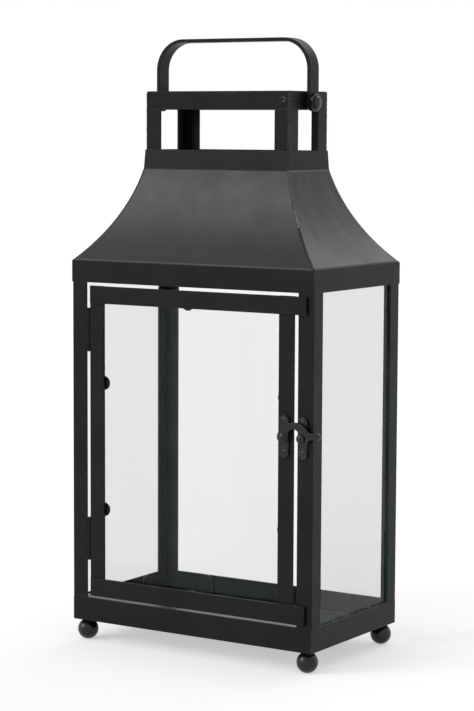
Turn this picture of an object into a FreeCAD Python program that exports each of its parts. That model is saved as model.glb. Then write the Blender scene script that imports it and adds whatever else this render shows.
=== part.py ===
import FreeCAD, Part
import math
import os
import Sketcher

# A candle lantern of black painted sheet steel: a tall glazed box on four ball feet, with a hinged
# glazed door in front, a swept hipped roof, an open chimney under a flat cap, and a flat-bar
# carrying handle that swings on two rivets.
# +X is the lantern's right as the door is faced, the door looks towards -Y, +Z is up.
# The origin is on the floor, under the centre of the box. All lengths are in millimetres.

DRIVING = [
    # the glazed box
    ("body_width", 200.0, "outside width of the box"),
    ("body_depth", 118.0, "outside depth of the box"),
    ("metal", 1.5, "thickness of rails, posts and floor"),
    ("angle_leg", 12.0, "leg of the angle the posts are cut from"),
    ("angle_round", 0.6, "rounding of an angle's outer corner"),
    ("rail_height", 17.0, "height of the base rails"),
    ("window_height", 227.5, "length of the corner posts"),
    ("eave_height", 15.2, "height of the band under the roof"),
    ("eave_proud", 0.4, "how far that band stands out from the posts"),
    # the feet
    ("foot_size", 15.0, "diameter of a ball foot and height of the box above the floor"),
    ("foot_inset", 7.5, "foot centre in from each outside face"),
    ("foot_flat", 3.0, "diameter of the flat spot under a foot"),
    ("foot_neck", 5.0, "diameter of the stud between ball and floor plate"),
    # the roof, collar and chimney
    ("roof_height", 65.5, "rise of the roof from eave band to collar"),
    ("roof_metal", 1.2, "thickness of the roof panels"),
    ("front_sweep", 147.0, "radius of the front and back panels"),
    ("side_sweep", 137.0, "radius of the left and right panels"),
    ("chimney_width", 118.8, "outside width of the chimney"),
    ("chimney_depth", 50.9, "outside depth of the chimney"),
    ("collar_height", 13.3, "height of the collar round the chimney's foot"),
    ("collar_lip", 0.6, "collar thickness at its upper edge"),
    ("collar_foot_x", 0.8, "collar thickness at its lower edge, left and right"),
    ("collar_foot_y", 2.15, "collar thickness at its lower edge, front and back"),
    ("vent_height", 28.2, "height of the chimney's open windows"),
    ("band_height", 11.5, "height of the band above the windows"),
    ("band_round", 1.2, "corner rounding of band and cap"),
    ("cap_metal", 1.3, "thickness of the cap"),
    # the carrying handle
    ("handle_rise", 37.0, "handle above the cap"),
    ("handle_broad", 12.2, "width of the handle's flat bar"),
    ("handle_thick", 2.5, "thickness of that bar"),
    ("handle_bend", 22.0, "outer radius of its two bends"),
    ("handle_side", 2.1, "gap between chimney band and handle leg"),
    ("pivot_rise", 5.0, "handle pivot above the band's lower edge"),
    ("pivot_shank", 2.0, "radius of the handle rivets"),
    ("pivot_head", 4.6, "radius of their heads"),
    ("pivot_dome", 2.4, "height of their heads"),
    ("pivot_play", 0.3, "gap on each side of a handle leg"),
    ("washer_round", 6.4, "radius of the washers outside the legs"),
    ("washer_thick", 1.8, "thickness of those washers"),
    ("spacer_round", 5.0, "radius of the spacers inside the legs"),
    ("swing_fit", 0.06, "running clearance round the rivets of handle and hook"),
    # the door
    ("door_gap", 3.3, "gap between door and posts"),
    ("door_gap_up", 2.2, "gap above and below the door"),
    ("door_proud", 0.3, "how far the stiles stand out from the posts"),
    ("stile_width", 12.0, "width of the door's two uprights"),
    ("door_bar", 2.0, "thickness of uprights and crossbars"),
    ("top_bar_width", 12.4, "height of the upper crossbar"),
    ("low_bar_width", 13.0, "height of the lower crossbar"),
    ("bar_inset", 1.3, "crossbar's hinge end in from the stile's edge"),
    ("bar_stop", 7.2, "overlap of the crossbars on the right post"),
    ("bar_soft", 0.3, "edge chamfer of flat bars"),
    # the glass and the clips that hold it
    ("glass_thick", 2.0, "thickness of the panes"),
    ("glass_lap", 5.0, "overlap of glass on the door's uprights"),
    ("glass_clear", 0.3, "clearance at a pane's edges"),
    ("pane_top", 8.5, "height of the fixed panes inside the eave band"),
    ("clip_width", 10.0, "width of a round-ended glass clip"),
    ("clip_metal", 1.0, "thickness of a clip"),
    ("clip_upright", 16.2, "height of the clips that stand on the floor"),
    ("clip_foot", 7.0, "length of their feet"),
    ("clip_base", 5.0, "length of a stepped clip's welded base"),
    ("clip_side_show", 2.5, "how far a side clip reaches past its upright"),
    ("clip_top_show", 1.9, "how far the upper clip reaches past its crossbar"),
    ("clip_top_shift", 3.5, "upper clip left of the centre line"),
    ("clip_low_show", 0.2, "how far the lower clip stops short of its crossbar"),
    ("clip_eave", 6.8, "reach of the clips under the eave"),
    ("clip_door_low", 62.8, "lower side clips above the door's foot"),
    ("clip_door_high", 69.3, "upper side clips below the door's top"),
    ("clip_pair_side", 28.0, "side clips each side of the centre line"),
    ("clip_pair_back", 60.0, "back clips each side of the centre line"),
    # the hinges
    ("hinge_height", 30.0, "height of a hinge"),
    ("hinge_knuckle", 7.4, "length of each outer knuckle"),
    ("hinge_play", 0.2, "gap between knuckles"),
    ("hinge_barrel", 1.35, "outer radius of the knuckles"),
    ("hinge_pin", 0.7, "radius of the pin"),
    ("hinge_fit", 0.05, "running clearance round the pin"),
    ("hinge_head", 1.15, "radius of the pin's heads"),
    ("hinge_cap", 0.6, "thickness of the pin's heads"),
    ("hinge_leaf", 0.8, "thickness of the leaves"),
    ("hinge_reach", 6.5, "length of a leaf behind its flat"),
    ("hinge_sunk", 0.7, "pin behind the posts' front face"),
    ("hinge_low", 41.0, "lower hinge centre above the door's foot"),
    ("hinge_high", 31.5, "upper hinge centre below the door's top"),
    # the swing-hook clasp
    ("clasp_rise", 128.0, "clasp above the door's foot"),
    ("clasp_inset", 6.5, "hook rivet in from the door's right edge"),
    ("clasp_plate", 1.2, "thickness of its two plates"),
    ("clasp_holes", 21.6, "distance between a plate's two eyes"),
    ("clasp_eye", 3.7, "outer radius of an eye"),
    ("clasp_dish", 2.4, "inner radius of an eye's raised rim"),
    ("clasp_rim", 0.4, "height of that rim"),
    ("clasp_rivet", 1.5, "radius of the fixing rivets' shanks"),
    ("clasp_rivet_head", 2.2, "radius of their heads"),
    ("clasp_waist", 6.8, "width of a plate between its eyes"),
    ("clasp_belly", 4.6, "radius of a plate's round middle"),
    ("clasp_boss", 2.8, "radius of the boss the hook bears on"),
    ("hook_thick", 1.8, "thickness of the hook"),
    ("hook_lift", 0.7, "hook in front of its plate"),
    ("hook_eye", 4.3, "outer radius of the hook's eye"),
    ("hook_knob", 2.7, "radius of the knob at the hook's tail"),
    ("hook_knob_out", 12.2, "knob past the keeper pin"),
    ("hook_knob_up", 2.3, "knob above the keeper pin"),
    ("hook_crown_in", 6.4, "top of the hook's arch short of the keeper pin"),
    ("hook_crown_up", 10.6, "top of that arch above the keeper pin"),
    ("hook_rear_bend", 0.993, "radius of the arch over the eye, as a share of the reach"),
    ("hook_fore_bend", 0.799, "radius of the arch over the keeper, as a share of the reach"),
    ("hook_dip_out", 4.1, "end of the arch past the keeper pin"),
    ("hook_dip_up", 6.8, "end of the arch above the keeper pin"),
    ("hook_dip_bend", 4.6, "radius of the dip between arch and tail"),
    ("hook_tail_out", 7.6, "start of the tail past the keeper pin"),
    ("hook_tail_bend", 3.5, "radius of the bend under the tail"),
    ("hook_claw_out", 2.2, "claw's outer corner past its inner one"),
    ("hook_claw_up", 0.8, "claw's outer corner above its inner one"),
    ("hook_claw_tip", 1.2, "radius of the claw's tip"),
    ("hook_claw_turn", -11.0, "claw's inner corner about the eye, in degrees"),
    ("hook_eye_rear", 162.4, "start of the arch about the eye, in degrees"),
    ("hook_eye_low", 253.7, "foot of the eye, in degrees"),
    ("hook_eye_front", 20.0, "end of the arch's inner edge about the eye, in degrees"),
    ("hook_neck_top", 133.7, "upper side of the tail's neck about the knob, in degrees"),
    ("hook_neck_low", 238.0, "lower side of that neck about the knob, in degrees"),
    ("hook_over_turn", 115.0, "where the inner edge leaves the keeper's head, in degrees"),
    ("hook_under_bend", 4.6, "radius of the arch's inner edge"),
    ("clasp_shank", 1.5, "radius of the hook's rivet and of the keeper pin"),
    ("clasp_head", 3.3, "radius of the hook rivet's head"),
    ("keeper_head", 3.05, "radius of the keeper pin's head"),
    ("keeper_inset", 7.4, "keeper pin in from the lantern's right face"),
    ("keeper_drop", 0.25, "keeper pin below the hook's rivet"),
    ("keeper_clear", 0.45, "gap between keeper head and hook"),
    ("dome_height", 1.8, "height of the clasp's two domed heads"),
    ("head_play", 0.1, "gap under a head that something turns beneath"),
    ("dome_edge", 0.25, "upright edge of a domed head, as a share of its height"),
    ("round_short", 0.02, "how far a full rounding stays short of half the width"),
    ("tool_reach", 1.0, "how far a drill or cutter runs past what it cuts"),
]

DOC = FreeCAD.newDocument("Lantern")
SHEET = DOC.addObject("Spreadsheet::Sheet", "Dims")
V = FreeCAD.Vector
X_AXIS, Y_AXIS, Z_AXIS = V(1, 0, 0), V(0, 1, 0), V(0, 0, 1)
H_LINE, V_LINE = -1, -2  # a sketch's own axes
NO_TURN = FreeCAD.Rotation()
NEAR = 0.1  # an edge this close to a level lies on it
PARTS = []  # the sub-parts, in the order they are made


class Size:
    """A length: its value, and the sheet expression that gives it."""

    def __init__(self, value, text=None):
        self.value = float(value)
        self.text = text or repr(float(value))

    def joined(self, other, sign, value):
        return Size(value, f"({self.text} {sign} {other.text})")

    def __add__(self, other):
        other = size(other)
        return self.joined(other, "+", self.value + other.value)

    def __sub__(self, other):
        other = size(other)
        return self.joined(other, "-", self.value - other.value)

    def __mul__(self, other):
        other = size(other)
        return self.joined(other, "*", self.value * other.value)

    def __truediv__(self, other):
        other = size(other)
        return self.joined(other, "/", self.value / other.value)

    def __neg__(self):
        return Size(-self.value, f"(0 - {self.text})")

    __radd__ = __add__
    __rmul__ = __mul__


def size(item):
    """A plain number as a Size; a Size stays as it is."""
    return item if isinstance(item, Size) else Size(item)


def root(item):
    """Square root of a Size."""
    return Size(math.sqrt(item.value), f"sqrt({item.text})")


def around(x, y, radius, degrees):
    """The bound point on a circle at an angle counted from local X towards local Y."""
    turn = math.radians(degrees.value)
    along = Size(math.cos(turn), f"cos({degrees.text})")
    across = Size(math.sin(turn), f"sin({degrees.text})")
    return x + radius * along, y + radius * across


class Dimensions:
    """The driving dimensions, written to the sheet and read back by name."""

    def __init__(self, rows):
        for row, (name, value, meaning) in enumerate(rows, start=1):
            SHEET.set(f"A{row}", meaning)
            SHEET.set(f"B{row}", str(value))
            SHEET.setAlias(f"B{row}", name)
        DOC.recompute()
        for name, _, _ in rows:
            setattr(self, name, Size(SHEET.get(name), f"Dims.{name}"))


D = Dimensions(DRIVING)

# ---------------------------------------------------------------- levels and planes that pieces share
half_wide = D.body_width / 2
half_deep = D.body_depth / 2
inner_wide = half_wide - D.metal  # inner faces of the rails and post legs
inner_deep = half_deep - D.metal
floor_top = D.foot_size + D.metal
post_foot = D.foot_size + D.rail_height
eave_foot = post_foot + D.window_height
roof_foot = eave_foot + D.eave_height
collar_foot = roof_foot + D.roof_height
vent_foot = collar_foot + D.collar_height
band_foot = vent_foot + D.vent_height
cap_foot = band_foot + D.band_height
cap_top = cap_foot + D.cap_metal
pivot_level = band_foot + D.pivot_rise

eave_half_wide = half_wide + D.eave_proud
eave_half_deep = half_deep + D.eave_proud
throat_half_wide = D.chimney_width / 2 + D.collar_foot_x
throat_half_deep = D.chimney_depth / 2 + D.collar_foot_y

door_half = half_wide - D.angle_leg - D.door_gap  # half the door's width over its uprights
door_foot = post_foot + D.door_gap_up
door_top = eave_foot - D.door_gap_up
stile_front = -(half_deep + D.door_proud)
stile_back = stile_front + D.door_bar
bar_front = stile_front - D.door_bar
glass_half = door_half - D.stile_width + D.glass_lap

hinge_x = -(door_half + D.door_gap / 2)
hinge_y = D.hinge_sunk - half_deep
clasp_level = door_foot + D.clasp_rise
hook_pivot_x = door_half - D.clasp_inset
keeper_x = half_wide - D.keeper_inset
keeper_level = clasp_level - D.keeper_drop
hook_back = stile_front - D.clasp_plate - D.hook_lift


# ---------------------------------------------------------------- shared ways of making pieces
def keep(obj, label):
    """Name a finished sub-part and put it on the list."""
    obj.Label = label
    PARTS.append(obj)
    return obj


def bind(obj, **sizes):
    """Bind properties of an object to the sheet."""
    for name, item in sizes.items():
        obj.setExpression(name, size(item).text)


def place(obj, x=0, y=0, z=0, turn=NO_TURN):
    """Put an object at a bound place, turned by a plain rotation."""
    spot = [size(x), size(y), size(z)]
    obj.Placement = FreeCAD.Placement(V(*[item.value for item in spot]), turn)
    for name, item in zip("xyz", spot):
        obj.setExpression(f"Placement.Base.{name}", item.text)
    return obj


def place_on_side(obj, side, x, y, z, turn=NO_TURN):
    """Put an object at a place given for the front side, carried round to another side.

    side counts quarter turns from the front: 0 front, 1 right, 2 back, 3 left.
    """
    x, y = size(x), size(y)
    spots = [(x, y), (-y, x), (-x, -y), (y, -x)]
    carried = FreeCAD.Rotation(Z_AXIS, 90 * side).multiply(turn)
    return place(obj, *spots[side], z, carried)


def facing(x_dir, y_dir):
    """The rotation that takes local X and Y to two square directions."""
    return FreeCAD.Rotation(x_dir, y_dir, x_dir.cross(y_dir), "ZXY")


def box(label, span_x, span_y, span_z):
    """A square-edged block between two bound limits along each axis."""
    block = DOC.addObject("Part::Box", label)
    spans = [(size(low), size(high)) for low, high in (span_x, span_y, span_z)]
    lengths = [high - low for low, high in spans]
    bind(block, Length=lengths[0], Width=lengths[1], Height=lengths[2])
    return place(block, *[low for low, _ in spans])


def rod(label, radius, length, x, y, z, towards):
    """A round bar from a bound place along one direction."""
    bar = DOC.addObject("Part::Cylinder", label)
    bind(bar, Radius=radius, Height=length)
    return place(bar, x, y, z, FreeCAD.Rotation(Z_AXIS, towards))


def drill(label, radius, depth, x, y, z, towards):
    """The tool for a hole through a bound depth, which runs past both its ends."""
    steps = (towards.x, towards.y, towards.z)
    start = [size(item) - D.tool_reach * step for item, step in zip((x, y, z), steps)]
    return rod(label, radius, depth + D.tool_reach * 2, *start, towards)


def fuse(label, pieces):
    """Several solids welded into one."""
    joined = DOC.addObject("Part::MultiFuse", label)
    joined.Shapes = pieces
    joined.Refine = True
    return joined


def cut(label, base, tool):
    """A solid with another taken out of it."""
    rest = DOC.addObject("Part::Cut", label)
    rest.Base = base
    rest.Tool = tool
    return rest


def group(label, pieces):
    """Identical pieces kept together as separate solids of one sub-part."""
    together = DOC.addObject("Part::Compound", label)
    together.Links = pieces
    return keep(together, label)


def new_body(label):
    return DOC.addObject("PartDesign::Body", label)


def sketch_on(body, role="XY_Plane"):
    """A sketch on one of the body's own origin planes."""
    sketch = body.newObject("Sketcher::SketchObject", f"{body.Name}_outline")
    plane = [item for item in body.Origin.OriginFeatures if item.Role == role][0]
    sketch.AttachmentSupport = (plane, [""])
    sketch.MapMode = "FlatFace"
    return sketch


def fix_coordinate(sketch, segment, end, axis, item):
    """Hold one coordinate of a point at a bound distance from the sketch's origin."""
    if item.text == "0.0":
        line = V_LINE if axis == "X" else H_LINE
        sketch.addConstraint(Sketcher.Constraint("PointOnObject", segment, end, line))
        return
    number = sketch.addConstraint(Sketcher.Constraint(f"Distance{axis}", segment, end, item.value))
    name = f"{axis.lower()}_{number}"
    sketch.renameConstraint(number, name)
    sketch.setExpression(f"Constraints.{name}", item.text)


def fix_radius(sketch, segment, item):
    """Hold a radius at a bound value."""
    number = sketch.addConstraint(Sketcher.Constraint("Radius", segment, item.value))
    name = f"radius_{number}"
    sketch.renameConstraint(number, name)
    sketch.setExpression(f"Constraints.{name}", item.text)


def arc_between(start, end, radius, turn):
    """An arc shorter than a half circle from start to end, turning left or right."""
    run = end - start
    half = run.Length / 2
    to_left = Z_AXIS.cross(run).normalize()
    offset = math.sqrt(max(radius**2 - half**2, 0))
    centre = start + run / 2 + to_left * (offset if turn == "left" else -offset)
    first, last = (start, end) if turn == "left" else (end, start)
    angles = [math.atan2(p.y - centre.y, p.x - centre.x) for p in (first, last)]
    if angles[1] < angles[0]:
        angles[1] += 2 * math.pi
    return Part.ArcOfCircle(Part.Circle(centre, Z_AXIS, radius), *angles)


def outline(sketch, corners, loose=()):
    """Draw a closed outline through bound corners.

    A corner is (x, y), or (x, y, radius, turn) where an arc leads to the next corner.
    The x of a corner whose number is in loose is only a start value. Returns the arcs' numbers.
    """
    corners = [(size(c[0]), size(c[1])) + tuple(c[2:]) for c in corners]
    points = [V(c[0].value, c[1].value, 0) for c in corners]
    ends, arcs = [], []
    for number, corner in enumerate(corners):
        start, end = points[number], points[(number + 1) % len(points)]
        if len(corner) == 2:
            segment = sketch.addGeometry(Part.LineSegment(start, end), False)
            ends.append((segment, 1, 2))
            continue
        radius, turn = size(corner[2]), corner[3]
        segment = sketch.addGeometry(arc_between(start, end, radius.value, turn), False)
        ends.append((segment, 1, 2) if turn == "left" else (segment, 2, 1))
        arcs.append((segment, radius))
    for number, (segment, first, _) in enumerate(ends):
        before, _, last = ends[number - 1]
        sketch.addConstraint(Sketcher.Constraint("Coincident", before, last, segment, first))
        x, y = corners[number][:2]
        if number not in loose:
            fix_coordinate(sketch, segment, first, "X", x)
        fix_coordinate(sketch, segment, first, "Y", y)
    for segment, radius in arcs:
        fix_radius(sketch, segment, radius)
    return [segment for segment, _ in arcs]


def ring(sketch, x, y, radius):
    """Draw a full circle about a bound centre."""
    x, y, radius = size(x), size(y), size(radius)
    circle = Part.Circle(V(x.value, y.value, 0), Z_AXIS, radius.value)
    segment = sketch.addGeometry(circle, False)
    fix_coordinate(sketch, segment, 3, "X", x)
    fix_coordinate(sketch, segment, 3, "Y", y)
    fix_radius(sketch, segment, radius)


def pad(body, sketch, length):
    """Extrude a sketch by a bound length."""
    feature = body.newObject("PartDesign::Pad", f"{body.Name}_pad")
    feature.Profile = sketch
    bind(feature, Length=length)
    sketch.recompute()
    feature.recompute()
    return feature


def revolve(body, sketch):
    """Turn a sketch once round its own upright axis."""
    feature = body.newObject("PartDesign::Revolution", f"{body.Name}_turned")
    feature.Profile = sketch
    feature.ReferenceAxis = (sketch, ["V_Axis"])
    feature.Angle = 360
    return feature


def edges_where(feature, test):
    """Names of the feature's edges that pass a test."""
    listed = enumerate(feature.Shape.Edges, start=1)
    return [f"Edge{number}" for number, edge in listed if test(edge)]


def runs_along(edge, axis):
    """Is this edge straight and along the axis?"""
    return isinstance(edge.Curve, Part.Line) and abs(edge.Curve.Direction.dot(axis)) > 0.999


def rounded(body, feature, edges, radius):
    """Round the named edges by a bound radius."""
    fillet = body.newObject("PartDesign::Fillet", f"{body.Name}_round")
    fillet.Base = (feature, edges)
    bind(fillet, Radius=radius)
    return fillet


def chamfered(body, feature, edges, width):
    """Bevel the named edges by a bound width."""
    bevel = body.newObject("PartDesign::Chamfer", f"{body.Name}_bevel")
    bevel.Base = (feature, edges)
    bind(bevel, Size=width)
    return bevel


def square_outline(sketch, low_x, high_x, low_y, high_y):
    outline(sketch, [(low_x, low_y), (high_x, low_y), (high_x, high_y), (low_x, high_y)])


# ---------------------------------------------------------------- feet, floor, rails and posts
def ball_foot(label, sign_x, sign_y):
    """A turned ball with a flat spot under it and a short stud up to the floor plate."""
    body = new_body(label)
    sketch = sketch_on(body, "XZ_Plane")
    radius, flat, neck = D.foot_size / 2, D.foot_flat / 2, D.foot_neck / 2
    middle = root(radius * radius - flat * flat)
    shoulder = middle + root(radius * radius - neck * neck)
    outline(sketch, [
        (0, 0),
        (flat, 0, radius, "left"),
        (radius, middle, radius, "left"),
        (neck, shoulder),
        (neck, D.foot_size),
        (0, D.foot_size),
    ])
    revolve(body, sketch)
    x = (half_wide - D.foot_inset) * sign_x
    y = (half_deep - D.foot_inset) * sign_y
    return place(body, x, y, 0)


def feet():
    corners = [(-1, -1), (1, -1), (1, 1), (-1, 1)]
    group("ball_feet", [ball_foot(f"foot_{i}", *signs) for i, signs in enumerate(corners)])


def floor_plate():
    span_z = (D.foot_size, floor_top)
    keep(box("floor_plate", (-inner_wide, inner_wide), (-inner_deep, inner_deep), span_z), "floor_plate")


def mitred_strip(label, side, length, thick, height, out, level):
    """An upright strip along one side, its ends mitred into its neighbours."""
    body = new_body(label)
    sketch = sketch_on(body)
    half = length / 2
    outline(sketch, [(-half, 0), (half, 0), (half - thick, thick), (thick - half, thick)])
    pad(body, sketch, height)
    place_on_side(body, side, 0, -out, level)
    return keep(body, label)


SIDES = [
    ("front", 0, D.body_width, half_deep),
    ("right", 1, D.body_depth, half_wide),
    ("back", 2, D.body_width, half_deep),
    ("left", 3, D.body_depth, half_wide),
]


def base_rails():
    for name, side, length, out in SIDES:
        mitred_strip(f"base_rail_{name}", side, length, D.metal, D.rail_height, out, D.foot_size)


def eave_rails():
    thick = D.metal + D.eave_proud
    for name, side, length, out in SIDES:
        full = length + D.eave_proud * 2
        mitred_strip(f"eave_rail_{name}", side, full, thick, D.eave_height, out + D.eave_proud, eave_foot)


def angle_post(label, height):
    """A length of equal angle whose outer corner stands on the local origin."""
    body = new_body(label)
    sketch = sketch_on(body)
    leg, thick = D.angle_leg, D.metal
    outline(sketch, [(0, 0), (leg, 0), (leg, thick), (thick, thick), (thick, leg), (0, leg)])
    feature = pad(body, sketch, height)

    def is_outer(edge):
        return runs_along(edge, Z_AXIS) and edge.CenterOfMass.x + edge.CenterOfMass.y < NEAR

    rounded(body, feature, edges_where(feature, is_outer), D.angle_round)
    return body


CORNERS = ["front_left", "front_right", "back_right", "back_left"]


def corner_posts():
    for turns, corner in enumerate(CORNERS):
        post = angle_post(f"post_{corner}", D.window_height)
        wide, deep = (half_wide, half_deep) if turns % 2 == 0 else (half_deep, half_wide)
        place_on_side(post, turns, -wide, -deep, post_foot)
        if corner == "front_right":
            hole = drill("keeper_hole", D.clasp_shank, D.metal, keeper_x, -half_deep, keeper_level, Y_AXIS)
            post = cut("post_drilled", post, hole)
        keep(post, f"corner_post_{corner}")


# ---------------------------------------------------------------- roof
def sheet_start(low, high, thick, radius):
    """Start values for the inner ends of a swept sheet, found from its outer ends."""
    top = V(low.value, collar_foot.value, 0)
    foot = V(high.value, roof_foot.value, 0)
    arc = arc_between(top, foot, radius.value, "left")
    reach = radius.value + thick.value
    spots = []
    for level in (roof_foot.value, collar_foot.value):
        rise = level - arc.Center.y
        spots.append(arc.Center.x - math.sqrt(reach**2 - rise**2))
    return spots


def swept_sheet(label, side, throat, eave, radius, length):
    """A sheet bent to a hollow sweep from the collar down to the eave, before its ends are cut."""
    body = new_body(label)
    sketch = sketch_on(body)
    foot_in, top_in = sheet_start(throat, eave, D.roof_metal, radius)
    outer, inner = outline(sketch, [
        (throat, collar_foot, radius, "left"),
        (eave, roof_foot),
        (foot_in, roof_foot, radius + D.roof_metal, "right"),
        (top_in, collar_foot),
    ], loose=(2, 3))
    sketch.addConstraint(Sketcher.Constraint("Coincident", outer, 3, inner, 3))
    pad(body, sketch, length)
    return place_on_side(body, side, length / 2, 0, 0, facing(-Y_AXIS, Z_AXIS))


def roof_block(label, side, throat, eave, radius, length):
    """The whole roof's outline across one direction, as a block to trim the sheets with."""
    body = new_body(label)
    sketch = sketch_on(body)
    outline(sketch, [
        (-eave, roof_foot),
        (eave, roof_foot, radius, "right"),
        (throat, collar_foot),
        (-throat, collar_foot, radius, "right"),
    ])
    pad(body, sketch, length)
    return place_on_side(body, side, 0, length / 2, 0, facing(X_AXIS, Z_AXIS))


def trimmed(label, sheet, block):
    """The part of a swept sheet that lies within the roof's outline."""
    panel = DOC.addObject("Part::Common", label)
    panel.Base = sheet
    panel.Tool = block
    return panel


def roof_panels():
    """Four swept panels: front and back run to the hips, the sides are cut to fit between them."""
    wide, deep = eave_half_wide * 2, eave_half_deep * 2
    across = roof_block("roof_across", 0, throat_half_wide, eave_half_wide, D.side_sweep, deep)
    along = roof_block("roof_along", 1, throat_half_deep, eave_half_deep, D.front_sweep, wide)
    ends = []
    for name, side in (("front", 0), ("back", 2)):
        sheet = swept_sheet(f"sheet_{name}", side, throat_half_deep, eave_half_deep, D.front_sweep, wide)
        ends.append(keep(trimmed(f"trim_{name}", sheet, across), f"roof_panel_{name}"))
    for name, side in (("right", 1), ("left", 3)):
        sheet = swept_sheet(f"sheet_{name}", side, throat_half_wide, eave_half_wide, D.side_sweep, deep)
        panel = trimmed(f"trim_{name}", sheet, along)
        for number, end in enumerate(ends):
            panel = cut(f"mitre_{name}_{number}", panel, end)
        keep(panel, f"roof_panel_{name}")


# ---------------------------------------------------------------- collar, chimney and cap
def collar():
    """A skirt round the chimney's foot that spreads a little towards the roof."""
    block = DOC.addObject("Part::Wedge", "collar_block")
    low_x, low_y = throat_half_wide, throat_half_deep
    top_x = D.chimney_width / 2 + D.collar_lip
    top_y = D.chimney_depth / 2 + D.collar_lip
    bind(block, Xmin=-low_x, Xmax=low_x, Zmin=-low_y, Zmax=low_y, Ymin=0, Ymax=D.collar_height)
    bind(block, X2min=-top_x, X2max=top_x, Z2min=-top_y, Z2max=top_y)
    place(block, 0, 0, collar_foot, FreeCAD.Rotation(X_AXIS, 90))
    wide, deep = D.chimney_width / 2, D.chimney_depth / 2
    span_z = (collar_foot - D.tool_reach, vent_foot + D.tool_reach)
    bore = box("collar_bore", (-wide, wide), (-deep, deep), span_z)
    keep(cut("collar", block, bore), "chimney_collar")


def chimney_posts():
    wide, deep = D.chimney_width / 2, D.chimney_depth / 2
    for turns, corner in enumerate(CORNERS):
        post = angle_post(f"chimney_{corner}", D.collar_height + D.vent_height)
        spread = (wide, deep) if turns % 2 == 0 else (deep, wide)
        place_on_side(post, turns, -spread[0], -spread[1], collar_foot)
        keep(post, f"chimney_post_{corner}")


def upright_edges(feature, reach):
    """Upright edges on the outer corners of a block that reaches that far from the axis."""
    return edges_where(feature, lambda e: runs_along(e, Z_AXIS) and abs(e.CenterOfMass.x) > reach.value)


def top_band():
    """The band over the windows, drilled at both sides for the handle's rivets."""
    body = new_body("band")
    sketch = sketch_on(body)
    wide, deep = D.chimney_width / 2, D.chimney_depth / 2
    square_outline(sketch, -wide, wide, -deep, deep)
    square_outline(sketch, D.metal - wide, wide - D.metal, D.metal - deep, deep - D.metal)
    feature = pad(body, sketch, D.band_height)
    rounded(body, feature, upright_edges(feature, wide - D.metal / 2), D.band_round)
    place(body, 0, 0, band_foot)
    hole = drill("band_hole", D.pivot_shank, D.chimney_width, -wide, 0, pivot_level, X_AXIS)
    keep(cut("band_drilled", body, hole), "top_band")


def cap_plate():
    body = new_body("cap_plate")
    sketch = sketch_on(body)
    wide, deep = D.chimney_width / 2, D.chimney_depth / 2
    square_outline(sketch, -wide, wide, -deep, deep)
    feature = pad(body, sketch, D.cap_metal)
    rounded(body, feature, upright_edges(feature, wide / 2), D.band_round)
    place(body, 0, 0, cap_foot)
    keep(body, "cap_plate")


# ---------------------------------------------------------------- carrying handle
def carrying_handle():
    """A flat bar bent to a wide bail, its two ends rounded about the pivot holes."""
    body = new_body("bail")
    sketch = sketch_on(body, "XZ_Plane")
    inner = D.chimney_width / 2 + D.handle_side
    outer = inner + D.handle_thick
    flat = outer - D.handle_bend
    top = cap_top + D.handle_rise
    spring = top - D.handle_bend
    foot = pivot_level - D.handle_broad / 2
    inside_bend = D.handle_bend - D.handle_thick
    outline(sketch, [
        (-outer, foot),
        (-outer, spring, D.handle_bend, "right"),
        (-flat, top),
        (flat, top, D.handle_bend, "right"),
        (outer, spring),
        (outer, foot),
        (inner, foot),
        (inner, spring, inside_bend, "left"),
        (flat, top - D.handle_thick),
        (-flat, top - D.handle_thick, inside_bend, "left"),
        (-inner, spring),
        (-inner, foot),
    ])
    feature = pad(body, sketch, D.handle_broad)
    low = foot.value + NEAR
    ends = edges_where(feature, lambda e: runs_along(e, X_AXIS) and e.CenterOfMass.z < low)
    rounded(body, feature, ends, D.handle_broad / 2 - D.round_short)
    place(body, 0, D.handle_broad / 2, 0)
    hole = drill("bail_hole", D.pivot_shank + D.swing_fit, outer * 2, -outer, 0, pivot_level, X_AXIS)
    keep(cut("bail_drilled", body, hole), "carrying_handle")


def domed_rivet(label, shank, length, head, dome):
    """A turned rivet: the head's underside is at the local origin, the shank points down -Z."""
    body = new_body(label)
    sketch = sketch_on(body, "XZ_Plane")
    edge = dome * D.dome_edge
    crown = dome - edge
    sweep = (head * head + crown * crown) / (crown * 2)
    outline(sketch, [
        (0, -length),
        (shank, -length),
        (shank, 0),
        (head, 0),
        (head, edge, sweep, "left"),
        (0, dome),
    ])
    revolve(body, sketch)
    return body


def handle_pivots():
    """Rivets, outer washers and inner spacers of the handle, one set at each side."""
    band = D.chimney_width / 2
    leg_outer = band + D.handle_side + D.handle_thick
    washer_in = leg_outer + D.pivot_play
    head_under = washer_in + D.washer_thick
    spacer_thick = D.handle_side - D.pivot_play
    sets = {"handle_rivets": [], "handle_washers": [], "handle_spacers": []}
    for name, sign in (("left", -1), ("right", 1)):
        out = X_AXIS * sign
        shank = head_under - band + D.metal
        rivet = domed_rivet(f"rivet_{name}", D.pivot_shank, shank, D.pivot_head, D.pivot_dome)
        place(rivet, head_under * sign, 0, pivot_level, FreeCAD.Rotation(Z_AXIS, out))
        sets["handle_rivets"].append(rivet)
        for kind, radius, start, thick in (
            ("washer", D.washer_round, washer_in, D.washer_thick),
            ("spacer", D.spacer_round, band, spacer_thick),
        ):
            disc = rod(f"{kind}_{name}", radius, thick, start * sign, 0, pivot_level, out)
            hole = rod(f"{kind}_hole_{name}", D.pivot_shank, thick, start * sign, 0, pivot_level, out)
            sets[f"handle_{kind}s"].append(cut(f"{kind}_ring_{name}", disc, hole))
    for label, pieces in sets.items():
        group(label, pieces)


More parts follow.
